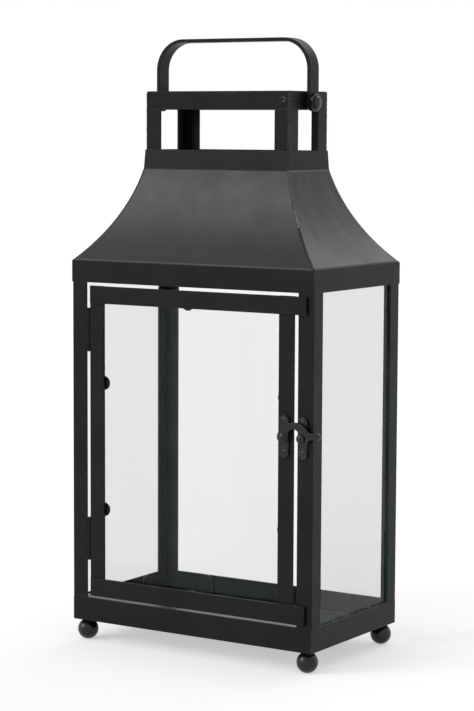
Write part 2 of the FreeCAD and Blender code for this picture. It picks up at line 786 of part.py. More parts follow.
# ---------------------------------------------------------------- glass and its clips
def fixed_panes():
    """Three panes that stand on the floor plate behind the posts' legs."""
    span_z = (floor_top, eave_foot + D.pane_top)
    reach = inner_deep - D.glass_clear
    back_in = inner_deep - D.glass_thick
    for name, sign in (("left", -1), ("right", 1)):
        faces = [(inner_wide - D.glass_thick) * sign, inner_wide * sign]
        span_x = tuple(faces if sign > 0 else reversed(faces))
        keep(box(f"glass_{name}", span_x, (-reach, back_in - D.glass_clear), span_z), f"glass_{name}")
    side = inner_wide - D.glass_clear
    keep(box("glass_back", (-side, side), (back_in, inner_deep), span_z), "glass_back")


def door_pane():
    span_y = (stile_back, stile_back + D.glass_thick)
    span_z = (door_foot + D.glass_lap, door_top - D.glass_lap)
    keep(box("glass_door", (-glass_half, glass_half), span_y, span_z), "glass_door")


def clip_from(body, sketch, reach):
    """Pad a clip's bent section to its width and round the free end's two corners."""
    feature = pad(body, sketch, D.clip_width)
    far = reach.value - NEAR
    tips = edges_where(feature, lambda e: runs_along(e, Y_AXIS) and e.CenterOfMass.x > far)
    rounded(body, feature, tips, D.clip_width / 2 - D.round_short)
    return body


def stepped_clip(label, base, rise, reach):
    """A clip whose base is welded down and whose round end laps over the glass.

    Local X points to the middle of the pane, local Y away from the frame.
    """
    body = new_body(label)
    sketch = sketch_on(body)
    thick = D.clip_metal
    outline(sketch, [
        (-base, 0),
        (0, 0),
        (0, rise),
        (reach, rise),
        (reach, rise + thick),
        (-thick, rise + thick),
        (-thick, thick),
        (-base, thick),
    ])
    return clip_from(body, sketch, reach)


def standing_clip(label):
    """A clip that stands on the floor plate and leans its round end on the glass."""
    body = new_body(label)
    sketch = sketch_on(body)
    thick, tall = D.clip_metal, D.clip_upright
    foot = thick + D.clip_foot
    outline(sketch, [(0, 0), (tall, 0), (tall, thick), (thick, thick), (thick, foot), (0, foot)])
    return clip_from(body, sketch, tall)


PANES = [
    ("right", 1, inner_wide, D.clip_pair_side),
    ("back", 2, inner_deep, D.clip_pair_back),
    ("left", 3, inner_wide, D.clip_pair_side),
]


def pane_clips():
    """Two standing clips and two stepped clips for each fixed pane."""
    low, high = [], []
    half = D.clip_width / 2
    for name, side, out, pair in PANES:
        for number, sign in enumerate((-1, 1)):
            clip = standing_clip(f"stand_{name}_{number}")
            inside = D.glass_thick - out
            place_on_side(clip, side, pair * sign + half, inside, floor_top, facing(Z_AXIS, Y_AXIS))
            low.append(clip)
            clip = stepped_clip(f"step_{name}_{number}", D.clip_base, D.glass_thick, D.clip_eave)
            level = eave_foot + D.pane_top + D.glass_clear
            place_on_side(clip, side, pair * sign - half, -out, level, facing(-Z_AXIS, Y_AXIS))
            high.append(clip)
    group("floor_glass_clips", low)
    group("eave_glass_clips", high)


def door_clips():
    """Six clips behind the door's glass: two at each upright, one at each crossbar."""
    clips = []
    half = D.clip_width / 2
    edge = glass_half + D.glass_clear
    reach = edge - (door_half - D.stile_width) + D.clip_side_show
    for name, sign in (("left", 1), ("right", -1)):
        for level in (door_foot + D.clip_door_low, door_top - D.clip_door_high):
            clip = stepped_clip(f"clip_{name}_{len(clips)}", D.clip_base, D.glass_thick, reach)
            turn = facing(X_AXIS * sign, Y_AXIS)
            clips.append(place(clip, edge * -sign, stile_back, level - half * sign, turn))
    behind_bar = D.door_bar + D.glass_thick
    base = D.glass_lap - D.glass_clear - D.clip_low_show
    lap = D.glass_lap - D.glass_clear
    reach = D.top_bar_width - lap + D.clip_top_show
    clip = stepped_clip("clip_top", base, behind_bar, reach)
    x = -half - D.clip_top_shift
    clips.append(place(clip, x, stile_front, door_top - lap, facing(-Z_AXIS, Y_AXIS)))
    reach = D.low_bar_width - lap - D.clip_low_show
    clip = stepped_clip("clip_low", base, behind_bar, reach)
    clips.append(place(clip, half, stile_front, door_foot + lap, facing(Z_AXIS, Y_AXIS)))
    group("door_glass_clips", clips)


# ---------------------------------------------------------------- door frame
def flat_bar(label, span_x, back, span_z):
    """A flat bar that stands with its back on one plane, all its edges slightly bevelled."""
    body = new_body(label)
    sketch = sketch_on(body, "XZ_Plane")
    square_outline(sketch, *span_x, *span_z)
    feature = pad(body, sketch, D.door_bar)
    everywhere = edges_where(feature, lambda e: True)
    chamfered(body, feature, everywhere, D.bar_soft)
    return place(body, 0, back, 0)


def door_frame():
    """Two uprights in the plane of the posts, with two crossbars lapped over them.

    The crossbars run on past the right upright and stop the door against the right post.
    """
    inside = door_half - D.stile_width
    upright = (door_foot, door_top)
    keep(flat_bar("stile_left", (-door_half, -inside), stile_back, upright), "door_stile_left")
    blank = flat_bar("stile_right", (inside, door_half), stile_back, upright)
    hole = drill("stile_hole", D.clasp_shank, D.door_bar, hook_pivot_x, stile_front, clasp_level, Y_AXIS)
    keep(cut("stile_drilled", blank, hole), "door_stile_right")
    across = (D.bar_inset - door_half, half_wide - D.angle_leg + D.bar_stop)
    top = (door_top - D.top_bar_width, door_top)
    keep(flat_bar("bar_top", across, stile_front, top), "door_bar_top")
    low = (door_foot, door_foot + D.low_bar_width)
    keep(flat_bar("bar_low", across, stile_front, low), "door_bar_bottom")


# ---------------------------------------------------------------- hinges
def knuckle(label, foot, length):
    """One knuckle of a hinge, standing on a bound level."""
    return rod(label, D.hinge_barrel, length, hinge_x, hinge_y, foot, Z_AXIS)


def hinge(name, centre):
    """A butt hinge: the post's leaf has the outer knuckles, the door's leaf the middle one."""
    low, high = centre - D.hinge_height / 2, centre + D.hinge_height / 2
    middle_foot = low + D.hinge_knuckle + D.hinge_play
    middle = D.hinge_height - (D.hinge_knuckle + D.hinge_play) * 2
    bore = D.hinge_pin + D.hinge_fit

    post_face = D.metal - half_deep
    post_edge = D.angle_leg - half_wide
    leaf_y = (post_face, post_face + D.hinge_leaf)
    top_foot = high - D.hinge_knuckle
    pieces = [box(f"{name}_post_leaf", (post_edge - D.hinge_reach, post_edge), leaf_y, (low, high))]
    for number, foot in enumerate((low, top_foot)):
        pieces.append(knuckle(f"{name}_post_{number}", foot, D.hinge_knuckle))
        span_z = (foot, foot + D.hinge_knuckle)
        pieces.append(box(f"{name}_post_tongue_{number}", (post_edge, hinge_x), leaf_y, span_z))
    hole = drill(f"{name}_post_hole", bore, D.hinge_height, hinge_x, hinge_y, low, Z_AXIS)
    keep(cut(f"{name}_post_bored", fuse(f"{name}_post_side", pieces), hole), f"{name}_hinge_post_leaf")

    leaf_y = (stile_back, stile_back + D.hinge_leaf)
    span_z = (middle_foot, middle_foot + middle)
    pieces = [
        box(f"{name}_door_leaf", (-door_half, D.hinge_reach - door_half), leaf_y, span_z),
        box(f"{name}_door_tongue", (hinge_x, -door_half), leaf_y, span_z),
        knuckle(f"{name}_door", middle_foot, middle),
    ]
    hole = drill(f"{name}_door_hole", bore, D.hinge_height, hinge_x, hinge_y, low, Z_AXIS)
    keep(cut(f"{name}_door_bored", fuse(f"{name}_door_side", pieces), hole), f"{name}_hinge_door_leaf")

    pin = [
        rod(f"{name}_pin", D.hinge_pin, D.hinge_height, hinge_x, hinge_y, low, Z_AXIS),
        rod(f"{name}_pin_head", D.hinge_head, D.hinge_cap, hinge_x, hinge_y, high, Z_AXIS),
        rod(f"{name}_pin_foot", D.hinge_head, D.hinge_cap, hinge_x, hinge_y, low, -Z_AXIS),
    ]
    keep(fuse(f"{name}_pin_whole", pin), f"{name}_hinge_pin")


# ---------------------------------------------------------------- swing-hook clasp
def clasp_plate(name, x, face, level, extra=()):
    """A cast plate with an eye at each end and a round middle, and the rivets in its eyes."""
    thick, half, waist = D.clasp_plate, D.clasp_holes / 2, D.clasp_waist / 2
    tall = thick + D.clasp_rim
    spread = [(x - waist, x + waist), (face - thick, face), (level - half, level + half)]
    pieces = [rod(f"{name}_middle", D.clasp_belly, thick, x, face, level, -Y_AXIS)]
    pieces += [box(f"{name}_waist", *spread), *extra]
    deep = tall + D.hook_lift
    holes = [drill(f"{name}_bore", D.clasp_shank, deep, x, face, level, -Y_AXIS)]
    rivets = []
    for number, sign in enumerate((-1, 1)):
        eye = level + half * sign
        pieces.append(rod(f"{name}_eye_{number}", D.clasp_eye, tall, x, face, eye, -Y_AXIS))
        holes.append(rod(f"{name}_dish_{number}", D.clasp_dish, tall, x, face - thick, eye, -Y_AXIS))
        holes.append(drill(f"{name}_hole_{number}", D.clasp_rivet, deep, x, face, eye, -Y_AXIS))
        rivet = domed_rivet(f"{name}_rivet_{number}", D.clasp_rivet, thick, D.clasp_rivet_head, D.clasp_rim)
        rivets.append(place(rivet, x, face - thick, eye, FreeCAD.Rotation(Z_AXIS, -Y_AXIS)))
    keep(cut(f"{name}_drilled", fuse(f"{name}_blank", pieces), fuse(f"{name}_holes", holes)), name)
    group(f"{name}_rivets", rivets)


def latch_hook():
    """The swinging hook: an eye, an arched arm, a claw beside the keeper pin and a knobbed tail.

    The outline runs clockwise from the eye over the arch to the knob, and back round the claw,
    over the keeper's head and under the arch. Its own origin is the hook's rivet.
    """
    body = new_body("hook")
    sketch = sketch_on(body, "XZ_Plane")
    reach, drop = keeper_x - hook_pivot_x, -D.keeper_drop
    eye, knob = D.hook_eye, D.hook_knob
    clear = D.keeper_head + D.keeper_clear
    pin_out = root(reach * reach + drop * drop)
    claw = pin_out + clear  # the claw's inner edge swings past the keeper's head at this radius
    claw_x, claw_z = around(0, 0, claw, D.hook_claw_turn)
    knob_x, knob_z = reach + D.hook_knob_out, drop + D.hook_knob_up
    neck_top, neck_low = [around(knob_x, knob_z, knob, turn) for turn in (D.hook_neck_top, D.hook_neck_low)]
    tail_x = reach + D.hook_tail_out
    outline(sketch, [
        (*around(0, 0, eye, D.hook_eye_rear), reach * D.hook_rear_bend, "right"),
        (reach - D.hook_crown_in, drop + D.hook_crown_up, reach * D.hook_fore_bend, "right"),
        (reach + D.hook_dip_out, drop + D.hook_dip_up, D.hook_dip_bend, "left"),
        (tail_x, neck_top[1]),
        (*neck_top, knob, "right"),
        (knob_x + knob, knob_z, knob, "right"),
        neck_low,
        (tail_x, neck_low[1], D.hook_tail_bend, "left"),
        (claw_x + D.hook_claw_out, claw_z + D.hook_claw_up, D.hook_claw_tip, "right"),
        (claw_x, claw_z, claw, "left"),
        (reach * claw / pin_out, drop * claw / pin_out, clear, "left"),
        (*around(reach, drop, clear, D.hook_over_turn), D.hook_under_bend, "left"),
        (*around(0, 0, eye, D.hook_eye_front), eye, "right"),
        (*around(0, 0, eye, D.hook_eye_low), eye, "right"),
    ])
    ring(sketch, 0, 0, D.clasp_shank + D.swing_fit)
    pad(body, sketch, D.hook_thick)
    place(body, hook_pivot_x, hook_back, clasp_level)
    keep(body, "latch_hook")


def clasp():
    """Door plate, hook and rivet, and on the post the keeper plate with its mushroom pin."""
    plate_front = stile_front - D.clasp_plate
    boss = rod("latch_boss", D.clasp_boss, D.hook_lift - D.head_play * 2, hook_pivot_x, plate_front,
               clasp_level, -Y_AXIS)
    clasp_plate("latch_plate", hook_pivot_x, stile_front, clasp_level, [boss])
    clasp_plate("keeper_plate", keeper_x, -half_deep, keeper_level)
    latch_hook()
    hook_front = hook_back - D.hook_thick
    out = FreeCAD.Rotation(Z_AXIS, -Y_AXIS)
    under = hook_front - D.head_play
    shank = stile_back - D.head_play - under
    pivot = domed_rivet("pivot", D.clasp_shank, shank, D.clasp_head, D.dome_height)
    keep(place(pivot, hook_pivot_x, under, clasp_level, out), "latch_pivot")
    under = hook_front - D.head_play * 2
    shank = D.metal - half_deep - D.head_play - under
    pin = domed_rivet("keeper", D.clasp_shank, shank, D.keeper_head, D.dome_height)
    keep(place(pin, keeper_x, under, keeper_level, out), "keeper_pin")


# ---------------------------------------------------------------- build, test and write
def build():
    feet()
    floor_plate()
    base_rails()
    corner_posts()
    eave_rails()
    roof_panels()
    collar()
    chimney_posts()
    top_band()
    cap_plate()
    carrying_handle()
    handle_pivots()
    fixed_panes()
    pane_clips()
    door_frame()
    door_pane()
    door_clips()
    hinge("upper", door_top - D.hinge_high)
    hinge("lower", door_foot + D.hinge_low)
    clasp()
    DOC.recompute()


def test():
    """Stop with a message if any object failed or any sub-part's shape is bad."""
    for obj in DOC.Objects:
        if {"Invalid", "Error"} & set(obj.State):
            raise RuntimeError(f"{obj.Label} failed: {obj.State}")
    for part in PARTS:
        if part.Shape.isNull() or not part.Shape.isValid() or part.Shape.Volume <= 0:
            raise RuntimeError(f"{part.Label} has a bad shape")


def write():
    os.makedirs("parts", exist_ok=True)
    for part in PARTS:
        part.Shape.exportStep(os.path.join("parts", f"{part.Label}.step"))
        print(f"{part.Label:32s} solids {len(part.Shape.Solids):2d}  volume {part.Shape.Volume:10.2f}")
    print(len(PARTS), "sub-parts")


build()
test()
write()
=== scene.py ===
"""Looks of a tall glazed candle lantern in black painted steel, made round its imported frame.

The frame gives every piece its place, so each visible piece starts from the node it stands for.
Rails, posts and bars are merged copies of their nodes with softened edges. What repeats, such as
feet, rivets, clips and weld beads, is laid out by Geometry Nodes, and so is the swept roof.
Lengths are in metres, and MM turns millimetres into them. +X is the lantern's right as the door
is faced, the door looks towards -Y, and +Z is up.
"""

import logging
import math
from dataclasses import dataclass, field
from enum import Enum
from functools import cache

import bmesh
import bpy
from mathutils import Matrix, Vector

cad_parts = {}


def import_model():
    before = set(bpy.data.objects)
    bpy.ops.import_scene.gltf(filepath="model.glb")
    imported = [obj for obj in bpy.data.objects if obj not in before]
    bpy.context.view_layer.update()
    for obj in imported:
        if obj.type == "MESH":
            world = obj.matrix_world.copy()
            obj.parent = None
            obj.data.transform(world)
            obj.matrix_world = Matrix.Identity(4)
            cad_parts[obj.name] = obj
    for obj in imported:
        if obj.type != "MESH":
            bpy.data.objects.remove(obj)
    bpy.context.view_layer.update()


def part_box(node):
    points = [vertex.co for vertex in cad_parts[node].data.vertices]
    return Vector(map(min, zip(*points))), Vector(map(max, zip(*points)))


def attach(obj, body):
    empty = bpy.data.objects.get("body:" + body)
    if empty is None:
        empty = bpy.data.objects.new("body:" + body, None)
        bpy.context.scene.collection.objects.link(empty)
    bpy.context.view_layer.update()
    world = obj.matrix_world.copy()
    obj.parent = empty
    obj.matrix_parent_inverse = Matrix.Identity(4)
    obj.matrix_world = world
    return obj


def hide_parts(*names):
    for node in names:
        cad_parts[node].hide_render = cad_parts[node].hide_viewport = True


MM = 0.001
LOG = logging.getLogger("lantern")
TINY = 1e-9
MERGE_WITHIN = 0.002 * MM
FLAT_BEND = 0.4

Colour = tuple[float, float, float]
Spot = tuple[float, float, float]


# ---------------------------------------------------------------- names on the frame
class Body(Enum):
    """The frame's bodies."""

    LANTERN = "lantern"
    DOOR = "door"
    HOOK = "latch_hook"
    HANDLE = "handle"


class Slot(Enum):
    """The record's material slots."""

    PAINT = "black_paint"
    GLASS = "glass"


class Corner(Enum):
    """The four upright corners, each with the signs of its X and Y."""

    FRONT_LEFT = (-1, -1)
    FRONT_RIGHT = (1, -1)
    BACK_RIGHT = (1, 1)
    BACK_LEFT = (-1, 1)

    @property
    def label(self) -> str:
        """The corner's name as the nodes spell it."""
        return self.name.lower()


class Side(Enum):
    """The four sides, each with its quarter turns from the front."""

    FRONT = 0
    RIGHT = 1
    BACK = 2
    LEFT = 3

    @property
    def label(self) -> str:
        """The side's name as the nodes spell it."""
        return self.name.lower()

    @property
    def turn(self) -> float:
        """Turn about Z that carries the front to this side, in radians."""
        return self.value * math.pi / 2


# ---------------------------------------------------------------- node trees
GEOMETRY = "NodeSocketGeometry"
MATERIAL = "NodeSocketMaterial"
COLOUR = "NodeSocketColor"
NUMBER = "NodeSocketFloat"
COUNT = "NodeSocketInt"


def numbers(*names: str) -> dict[str, str]:
    """Sockets for plain numbers, by name."""
    return dict.fromkeys(names, NUMBER)


class Graph:
    """Adds nodes to a tree, sets their inputs and links them."""

    def __init__(self, tree: bpy.types.NodeTree) -> None:
        """Work on one tree."""
        self.tree = tree

    def add(self, kind: str, inputs: dict | None = None, **settings: object) -> bpy.types.Node:
        """Add a node.

        Args:
            kind: the node's type name.
            inputs: values or sockets by input name or number.
            settings: the node's own properties.

        Returns:
            The new node.
        """
        node = self.tree.nodes.new(kind)
        for name, value in settings.items():
            setattr(node, name, value)
        for key, value in (inputs or {}).items():
            self.feed(node.inputs[key], value)
        return node

    def feed(self, socket: bpy.types.NodeSocket, value: object) -> None:
        """Link a socket or a node's first output to an input, or set the input's own value.

        Args:
            socket: the input to feed.
            value: an output socket, a node, or a plain value.
        """
        if isinstance(value, bpy.types.Node):
            value = value.outputs[0]
        if isinstance(value, bpy.types.NodeSocket):
            self.tree.links.new(value, socket)
        else:
            socket.default_value = value

    def math(self, operation: str, *values: object) -> bpy.types.NodeSocket:
        """Add a Math node and return its result."""
        return self.add("ShaderNodeMath", dict(enumerate(values)), operation=operation).outputs[0]

    def vector(self, operation: str, *values: object) -> bpy.types.NodeSocket:
        """Add a Vector Math node and return its result."""
        node = self.add("ShaderNodeVectorMath", dict(enumerate(values)), operation=operation)
        return node.outputs["Value" if operation == "DOT_PRODUCT" else "Vector"]

    def times(self, first: object, second: object) -> bpy.types.NodeSocket:
        """Multiply two values."""
        return self.math("MULTIPLY", first, second)

    def plus(self, first: object, second: object) -> bpy.types.NodeSocket:
        """Add two values."""
        return self.math("ADD", first, second)

    def minus(self, first: object, second: object) -> bpy.types.NodeSocket:
        """Take the second value from the first."""
        return self.math("SUBTRACT", first, second)

    def noise(self, where: object, scale: object, detail: float, rough: float = 0.5) -> bpy.types.NodeSocket:
        """Add a noise texture and return its value."""
        inputs = {"Vector": where, "Scale": scale, "Detail": detail, "Roughness": rough}
        return self.add("ShaderNodeTexNoise", inputs).outputs[0]

    def ranged(self, value: object, low: object, high: object, to_low: object = 0.0,
               to_high: object = 1.0) -> bpy.types.NodeSocket:
        """Carry a value from one range to another, held at its ends."""
        values = {"Value": value, "From Min": low, "From Max": high, "To Min": to_low, "To Max": to_high}
        return self.add("ShaderNodeMapRange", values).outputs[0]

    def blend(self, share: object, first: object, second: object) -> bpy.types.NodeSocket:
        """Mix two colours.

        Args:
            share: share of the second colour.
            first: the first colour.
            second: the second colour.

        Returns:
            The mixed colour.
        """
        node = self.add("ShaderNodeMix", data_type="RGBA")
        for socket, value in zip((node.inputs[0], node.inputs[6], node.inputs[7]), (share, first, second)):
            self.feed(socket, value)
        return node.outputs[2]


def ink(shade: Colour) -> tuple[float, float, float, float]:
    """Turn a screen colour from 0 to 255 into the linear colour that shaders take."""
    parts = [value / 255 for value in shade]
    return (*[p / 12.92 if p <= 0.04045 else ((p + 0.055) / 1.055) ** 2.4 for p in parts], 1.0)


def emptied(owner: bpy.types.Material | bpy.types.World) -> Graph:
    """Give a material or the world an empty tree to build in.

    Args:
        owner: the material or world.

    Returns:
        The graph of its tree.
    """
    owner.use_nodes = True
    owner.node_tree.nodes.clear()
    return Graph(owner.node_tree)


def new_tree(name: str, kind: str, inputs: dict[str, str], outputs: dict[str, str]) -> tuple[Graph, dict]:
    """Start a node group with named sockets.

    Args:
        name: the group's name.
        kind: its tree type.
        inputs: socket types by input name.
        outputs: socket types by output name.

    Returns:
        The graph, and the group's input sockets by name.
    """
    tree = bpy.data.node_groups.new(name, kind)
    for way, sockets in (("INPUT", inputs), ("OUTPUT", outputs)):
        for label, socket_type in sockets.items():
            tree.interface.new_socket(name=label, in_out=way, socket_type=socket_type)
    graph = Graph(tree)
    start = graph.add("NodeGroupInput")
    return graph, {label: start.outputs[label] for label in inputs}


def close_tree(graph: Graph, results: dict[str, object]) -> bpy.types.NodeTree:
    """Feed a group's outputs."""
    graph.add("NodeGroupOutput", results)
    return graph.tree


# ---------------------------------------------------------------- effects that finishes share
# each range is the part of a noise or a bend that is read from nothing to full, and each pair of
# layers is a noise's number of finer layers and their strength
PATCH_LAYERS = (4.0, 0.6)
CLOUD_LAYERS = (5.0, 0.7)
PEEL_LAYERS = (2.0, 0.45)
DRIFT_LAYERS = (6.0, 0.65)
FILM_LAYERS = (1.0, 0.4)
PATCH_RANGE = (0.35, 0.68)
SPECK_RANGE = (0.62, 0.72)
SPECK_SCALE = 900.0
SPECK_SHARE = 0.35
CLOUD_FINER = 2.3
GRIT_FINER = 4.2
GRIT_SHARE = 0.3
BEND_RANGE = (0.02, 0.16)
CHIP_RANGE = (0.42, 0.66)
LYING_RANGE = (0.35, 0.95)
DRIFT_RANGE = (0.38, 0.7)
FILM_RANGE = (0.5, 0.8)
SLANT_RANGE = (0.2, 0.5)
FLECK_RANGE = (0.3, 0.7)
BEVEL_SAMPLES = 4
WIPED_SCALE = (1.0, 1.0, 0.35)


@cache
def coat_group() -> bpy.types.NodeTree:
    """Sprayed paint: soft patches of tone, a fine orange peel and uneven gloss.

    Returns:
        The shader node group.
    """
    graph, given = new_tree(
        "sprayed_coat", "ShaderNodeTree",
        {"Base": COLOUR, "Patch": COLOUR, **numbers("Roughness", "Spread", "Patch Scale", "Peel Scale")},
        {"Color": COLOUR, **numbers("Roughness", "Height")})
    where = graph.add("ShaderNodeTexCoord").outputs["Object"]
    patches = graph.noise(where, given["Patch Scale"], *PATCH_LAYERS)
    tone = graph.ranged(patches, *PATCH_RANGE)
    speck = graph.ranged(graph.noise(where, SPECK_SCALE, 2.0), *SPECK_RANGE)
    share = graph.math("MAXIMUM", tone, graph.times(speck, SPECK_SHARE))
    colour = graph.blend(share, given["Base"], given["Patch"])
    cloud = graph.noise(where, graph.times(given["Patch Scale"], CLOUD_FINER), *CLOUD_LAYERS)
    rough = graph.math("MULTIPLY_ADD", graph.minus(cloud, 0.5), given["Spread"], given["Roughness"])
    peel = graph.noise(where, given["Peel Scale"], *PEEL_LAYERS)
    grit = graph.noise(where, graph.times(given["Peel Scale"], GRIT_FINER), 1.0)
    height = graph.math("MULTIPLY_ADD", grit, GRIT_SHARE, peel)
    return close_tree(graph, {"Color": colour, "Roughness": rough, "Height": height})


@cache
def wear_group() -> bpy.types.NodeTree:
    """A mask of the outer edges where paint is thin, and where a painted highlight stands for light catching
    them, broken up along its length.

    Returns:
        The shader node group.
    """
    graph, given = new_tree("edge_wear", "ShaderNodeTree", numbers("Reach", "Breakup", "Amount"),
                            numbers("Mask"))
    soft = graph.add("ShaderNodeBevel", {"Radius": given["Reach"]}, samples=BEVEL_SAMPLES)
    facing = graph.add("ShaderNodeNewGeometry")
    bend = graph.minus(1.0, graph.vector("DOT_PRODUCT", soft, facing.outputs["Normal"]))
    near = graph.ranged(bend, *BEND_RANGE)
    where = graph.add("ShaderNodeTexCoord").outputs["Object"]
    chips = graph.ranged(graph.noise(where, given["Breakup"], *CLOUD_LAYERS), *CHIP_RANGE)
    mask = graph.times(graph.times(near, chips), given["Amount"])
    return close_tree(graph, {"Mask": mask})


@cache
def dust_group() -> bpy.types.NodeTree:
    """A mask of settled dust on faces that look up.

    Returns:
        The shader node group.
    """
    graph, given = new_tree("settled_dust", "ShaderNodeTree", numbers("Amount", "Scale"), numbers("Mask"))
    upward = graph.add("ShaderNodeSeparateXYZ", {0: graph.add("ShaderNodeNewGeometry").outputs["Normal"]})
    lying = graph.ranged(upward.outputs["Z"], *LYING_RANGE)
    where = graph.add("ShaderNodeTexCoord").outputs["Object"]
    drift = graph.ranged(graph.noise(where, given["Scale"], *DRIFT_LAYERS), *DRIFT_RANGE)
    mask = graph.times(graph.times(lying, drift), given["Amount"])
    return close_tree(graph, {"Mask": mask})


# ---------------------------------------------------------------- finishes
@dataclass(frozen=True)
class PaintFinish:
    """Black satin paint over steel."""

    name: str
    base: Colour = (17, 18, 19)
    patch: Colour = (28, 29, 31)
    # light edge colour: paint rubbed thin, and a painted highlight where light catches the edge
    worn: Colour = (118, 118, 116)
    dust: Colour = (120, 120, 114)
    roughness: float = 0.42
    spread: float = 0.16
    shine: float = 0.15
    patch_scale: float = 22.0
    peel_scale: float = 520.0
    peel: float = 0.12
    peel_depth: float = 0.15 * MM
    wear: float = 0.6
    wear_reach: float = 0.7 * MM
    wear_breakup: float = 260.0
    dusty: float = 0.1
    dust_scale: float = 60.0
    dust_roughening: float = 0.35

    @cache
    def material(self) -> bpy.types.Material:
        """The finish as a material, built once.

        Returns:
            The material.
        """
        made = bpy.data.materials.new(self.name)
        graph = emptied(made)
        coat = graph.add("ShaderNodeGroup", {
            "Base": ink(self.base), "Patch": ink(self.patch), "Roughness": self.roughness,
            "Spread": self.spread, "Patch Scale": self.patch_scale, "Peel Scale": self.peel_scale},
            node_tree=coat_group())
        wear = graph.add("ShaderNodeGroup", {
            "Reach": self.wear_reach, "Breakup": self.wear_breakup, "Amount": self.wear},
            node_tree=wear_group())
        dust = graph.add("ShaderNodeGroup", {"Amount": self.dusty, "Scale": self.dust_scale},
                         node_tree=dust_group())
        # edges take the light edge colour: partly real wear, partly a painted highlight
        colour = graph.blend(wear.outputs["Mask"], coat.outputs["Color"], ink(self.worn))
        colour = graph.blend(dust.outputs["Mask"], colour, ink(self.dust))
        rough = graph.plus(graph.times(dust.outputs["Mask"], self.dust_roughening), coat.outputs["Roughness"])
        bump = graph.add("ShaderNodeBump", {"Height": coat.outputs["Height"], "Strength": self.peel,
                                            "Distance": self.peel_depth})
        shader = graph.add("ShaderNodeBsdfPrincipled", {
            "Base Color": colour, "Roughness": rough, "Specular IOR Level": self.shine, "Normal": bump})
        graph.add("ShaderNodeOutputMaterial", {"Surface": shader})
        return made


@dataclass(frozen=True)
class GlassFinish:
    """Window glass that lets the lamps through, a little smeared."""

    name: str
    tint: Colour = (243, 243, 243)
    slanted: Colour = (226, 227, 227)
    roughness: float = 0.0
    smear: float = 0.004
    film_scale: float = 16.0
    grime: float = 0.012
    index: float = 1.2
    shine: float = 0.5

    @cache
    def material(self) -> bpy.types.Material:
        """The finish as a material, built once.

        Returns:
            The material.
        """
        made = bpy.data.materials.new(self.name)
        graph = emptied(made)
        where = graph.add("ShaderNodeTexCoord").outputs["Object"]
        wiped = graph.add("ShaderNodeMapping", {"Vector": where, "Scale": WIPED_SCALE})
        film = graph.ranged(graph.noise(wiped, self.film_scale, *FILM_LAYERS), *FILM_RANGE)
        rough = graph.math("MULTIPLY_ADD", film, self.smear, self.roughness)
        facing = graph.add("ShaderNodeLayerWeight", {"Blend": 0.5}).outputs["Facing"]
        slant = graph.ranged(facing, *SLANT_RANGE)
        colour = graph.blend(slant, ink(self.tint), ink(self.slanted))
        colour = graph.blend(graph.times(film, self.grime), colour, ink((0, 0, 0)))
        glass = graph.add("ShaderNodeBsdfPrincipled", {
            "Base Color": colour, "Roughness": rough, "Transmission Weight": 1.0, "IOR": self.index,
            "Specular IOR Level": self.shine})
        clear = graph.add("ShaderNodeBsdfTransparent", {"Color": ink(self.tint)})
        path = graph.add("ShaderNodeLightPath")
        passing = graph.math("MAXIMUM", path.outputs["Is Shadow Ray"], path.outputs["Is Diffuse Ray"])
        mixed = graph.add("ShaderNodeMixShader", {0: passing, 1: glass, 2: clear})
        graph.add("ShaderNodeOutputMaterial", {"Surface": mixed})
        return made


SHEET_PAINT = PaintFinish("paint_on_rails_and_posts")
ROOF_PAINT = PaintFinish("paint_on_roof", base=(20, 22, 26), patch=(29, 31, 37), roughness=0.4, spread=0.24,
                         patch_scale=14.0, peel=0.3, shine=0.37, dusty=0.06)
# lighter and blue-green than black: painted light and a painted reflection of the panes over the floor plate;
# its dust is real
FLOOR_PAINT_WITH_PAINTED_REFLECTION = PaintFinish("paint_on_floor", base=(42, 56, 58), patch=(66, 82, 83), roughness=0.62, spread=0.3,
                          shine=0.0, patch_scale=34.0, dusty=0.12)
# inner faces painted lighter and blue-green: a painted reflection of the panes they are seen through
LINING_OF_PAINTED_REFLECTION = PaintFinish("paint_on_inner_faces", base=(36, 52, 54), patch=(56, 74, 76), roughness=0.6,
                           spread=0.3, shine=0.04, patch_scale=38.0, wear=0.3, dusty=0.05)
# lighter than the other black paint: a painted highlight for the light streak under the door
SILL_PAINT_WITH_PAINTED_HIGHLIGHT = PaintFinish("paint_on_sill", base=(38, 40, 40), patch=(52, 54, 53), roughness=0.3, shine=0.45)
# clips are painted lighter than the other black paint, with bright rims: a painted highlight on them
HIGHLIT_CLIP_PAINT = PaintFinish("paint_on_clips", base=(30, 33, 33), patch=(50, 54, 54), worn=(165, 168, 165),
                         roughness=0.38, shine=0.3, wear=0.95)
CAST_PAINT = PaintFinish("paint_on_castings", base=(14, 15, 16), patch=(24, 25, 26), roughness=0.25,
                         peel_scale=380.0, peel=0.3, wear=0.7, shine=0.36)
WELD_PAINT = PaintFinish("paint_on_welds", roughness=0.33, peel_scale=700.0, peel=0.35, wear=0.8, shine=0.3)
# light grey with bright rims: a painted highlight along the coarse beads and spatter
HIGHLIT_COARSE_WELD_PAINT = PaintFinish("paint_on_coarse_welds", base=(52, 54, 56), patch=(112, 115, 118),
                                worn=(175, 176, 176), roughness=0.34, peel_scale=700.0, peel=0.4,
                                wear=1.0, shine=0.4)
PANE = GlassFinish("window_glass")
GLASS_EDGE = GlassFinish("cut_glass_edge", tint=(132, 178, 168), slanted=(120, 170, 160), roughness=0.28,
                         smear=0.1)


# ---------------------------------------------------------------- meshes
def merged_copy(node: str) -> bmesh.types.BMesh:
    """Copy a CAD node's mesh, with its triangles joined and flat areas made single faces.

    Args:
        node: the CAD node to copy.

    Returns:
        The copy, for the caller to free.
    """
    copy = bmesh.new()
    copy.from_mesh(bpy.data.objects[node].data)
    bmesh.ops.remove_doubles(copy, verts=copy.verts, dist=MERGE_WITHIN)
    bmesh.ops.dissolve_limit(copy, angle_limit=math.radians(FLAT_BEND), verts=copy.verts, edges=copy.edges)
    return copy


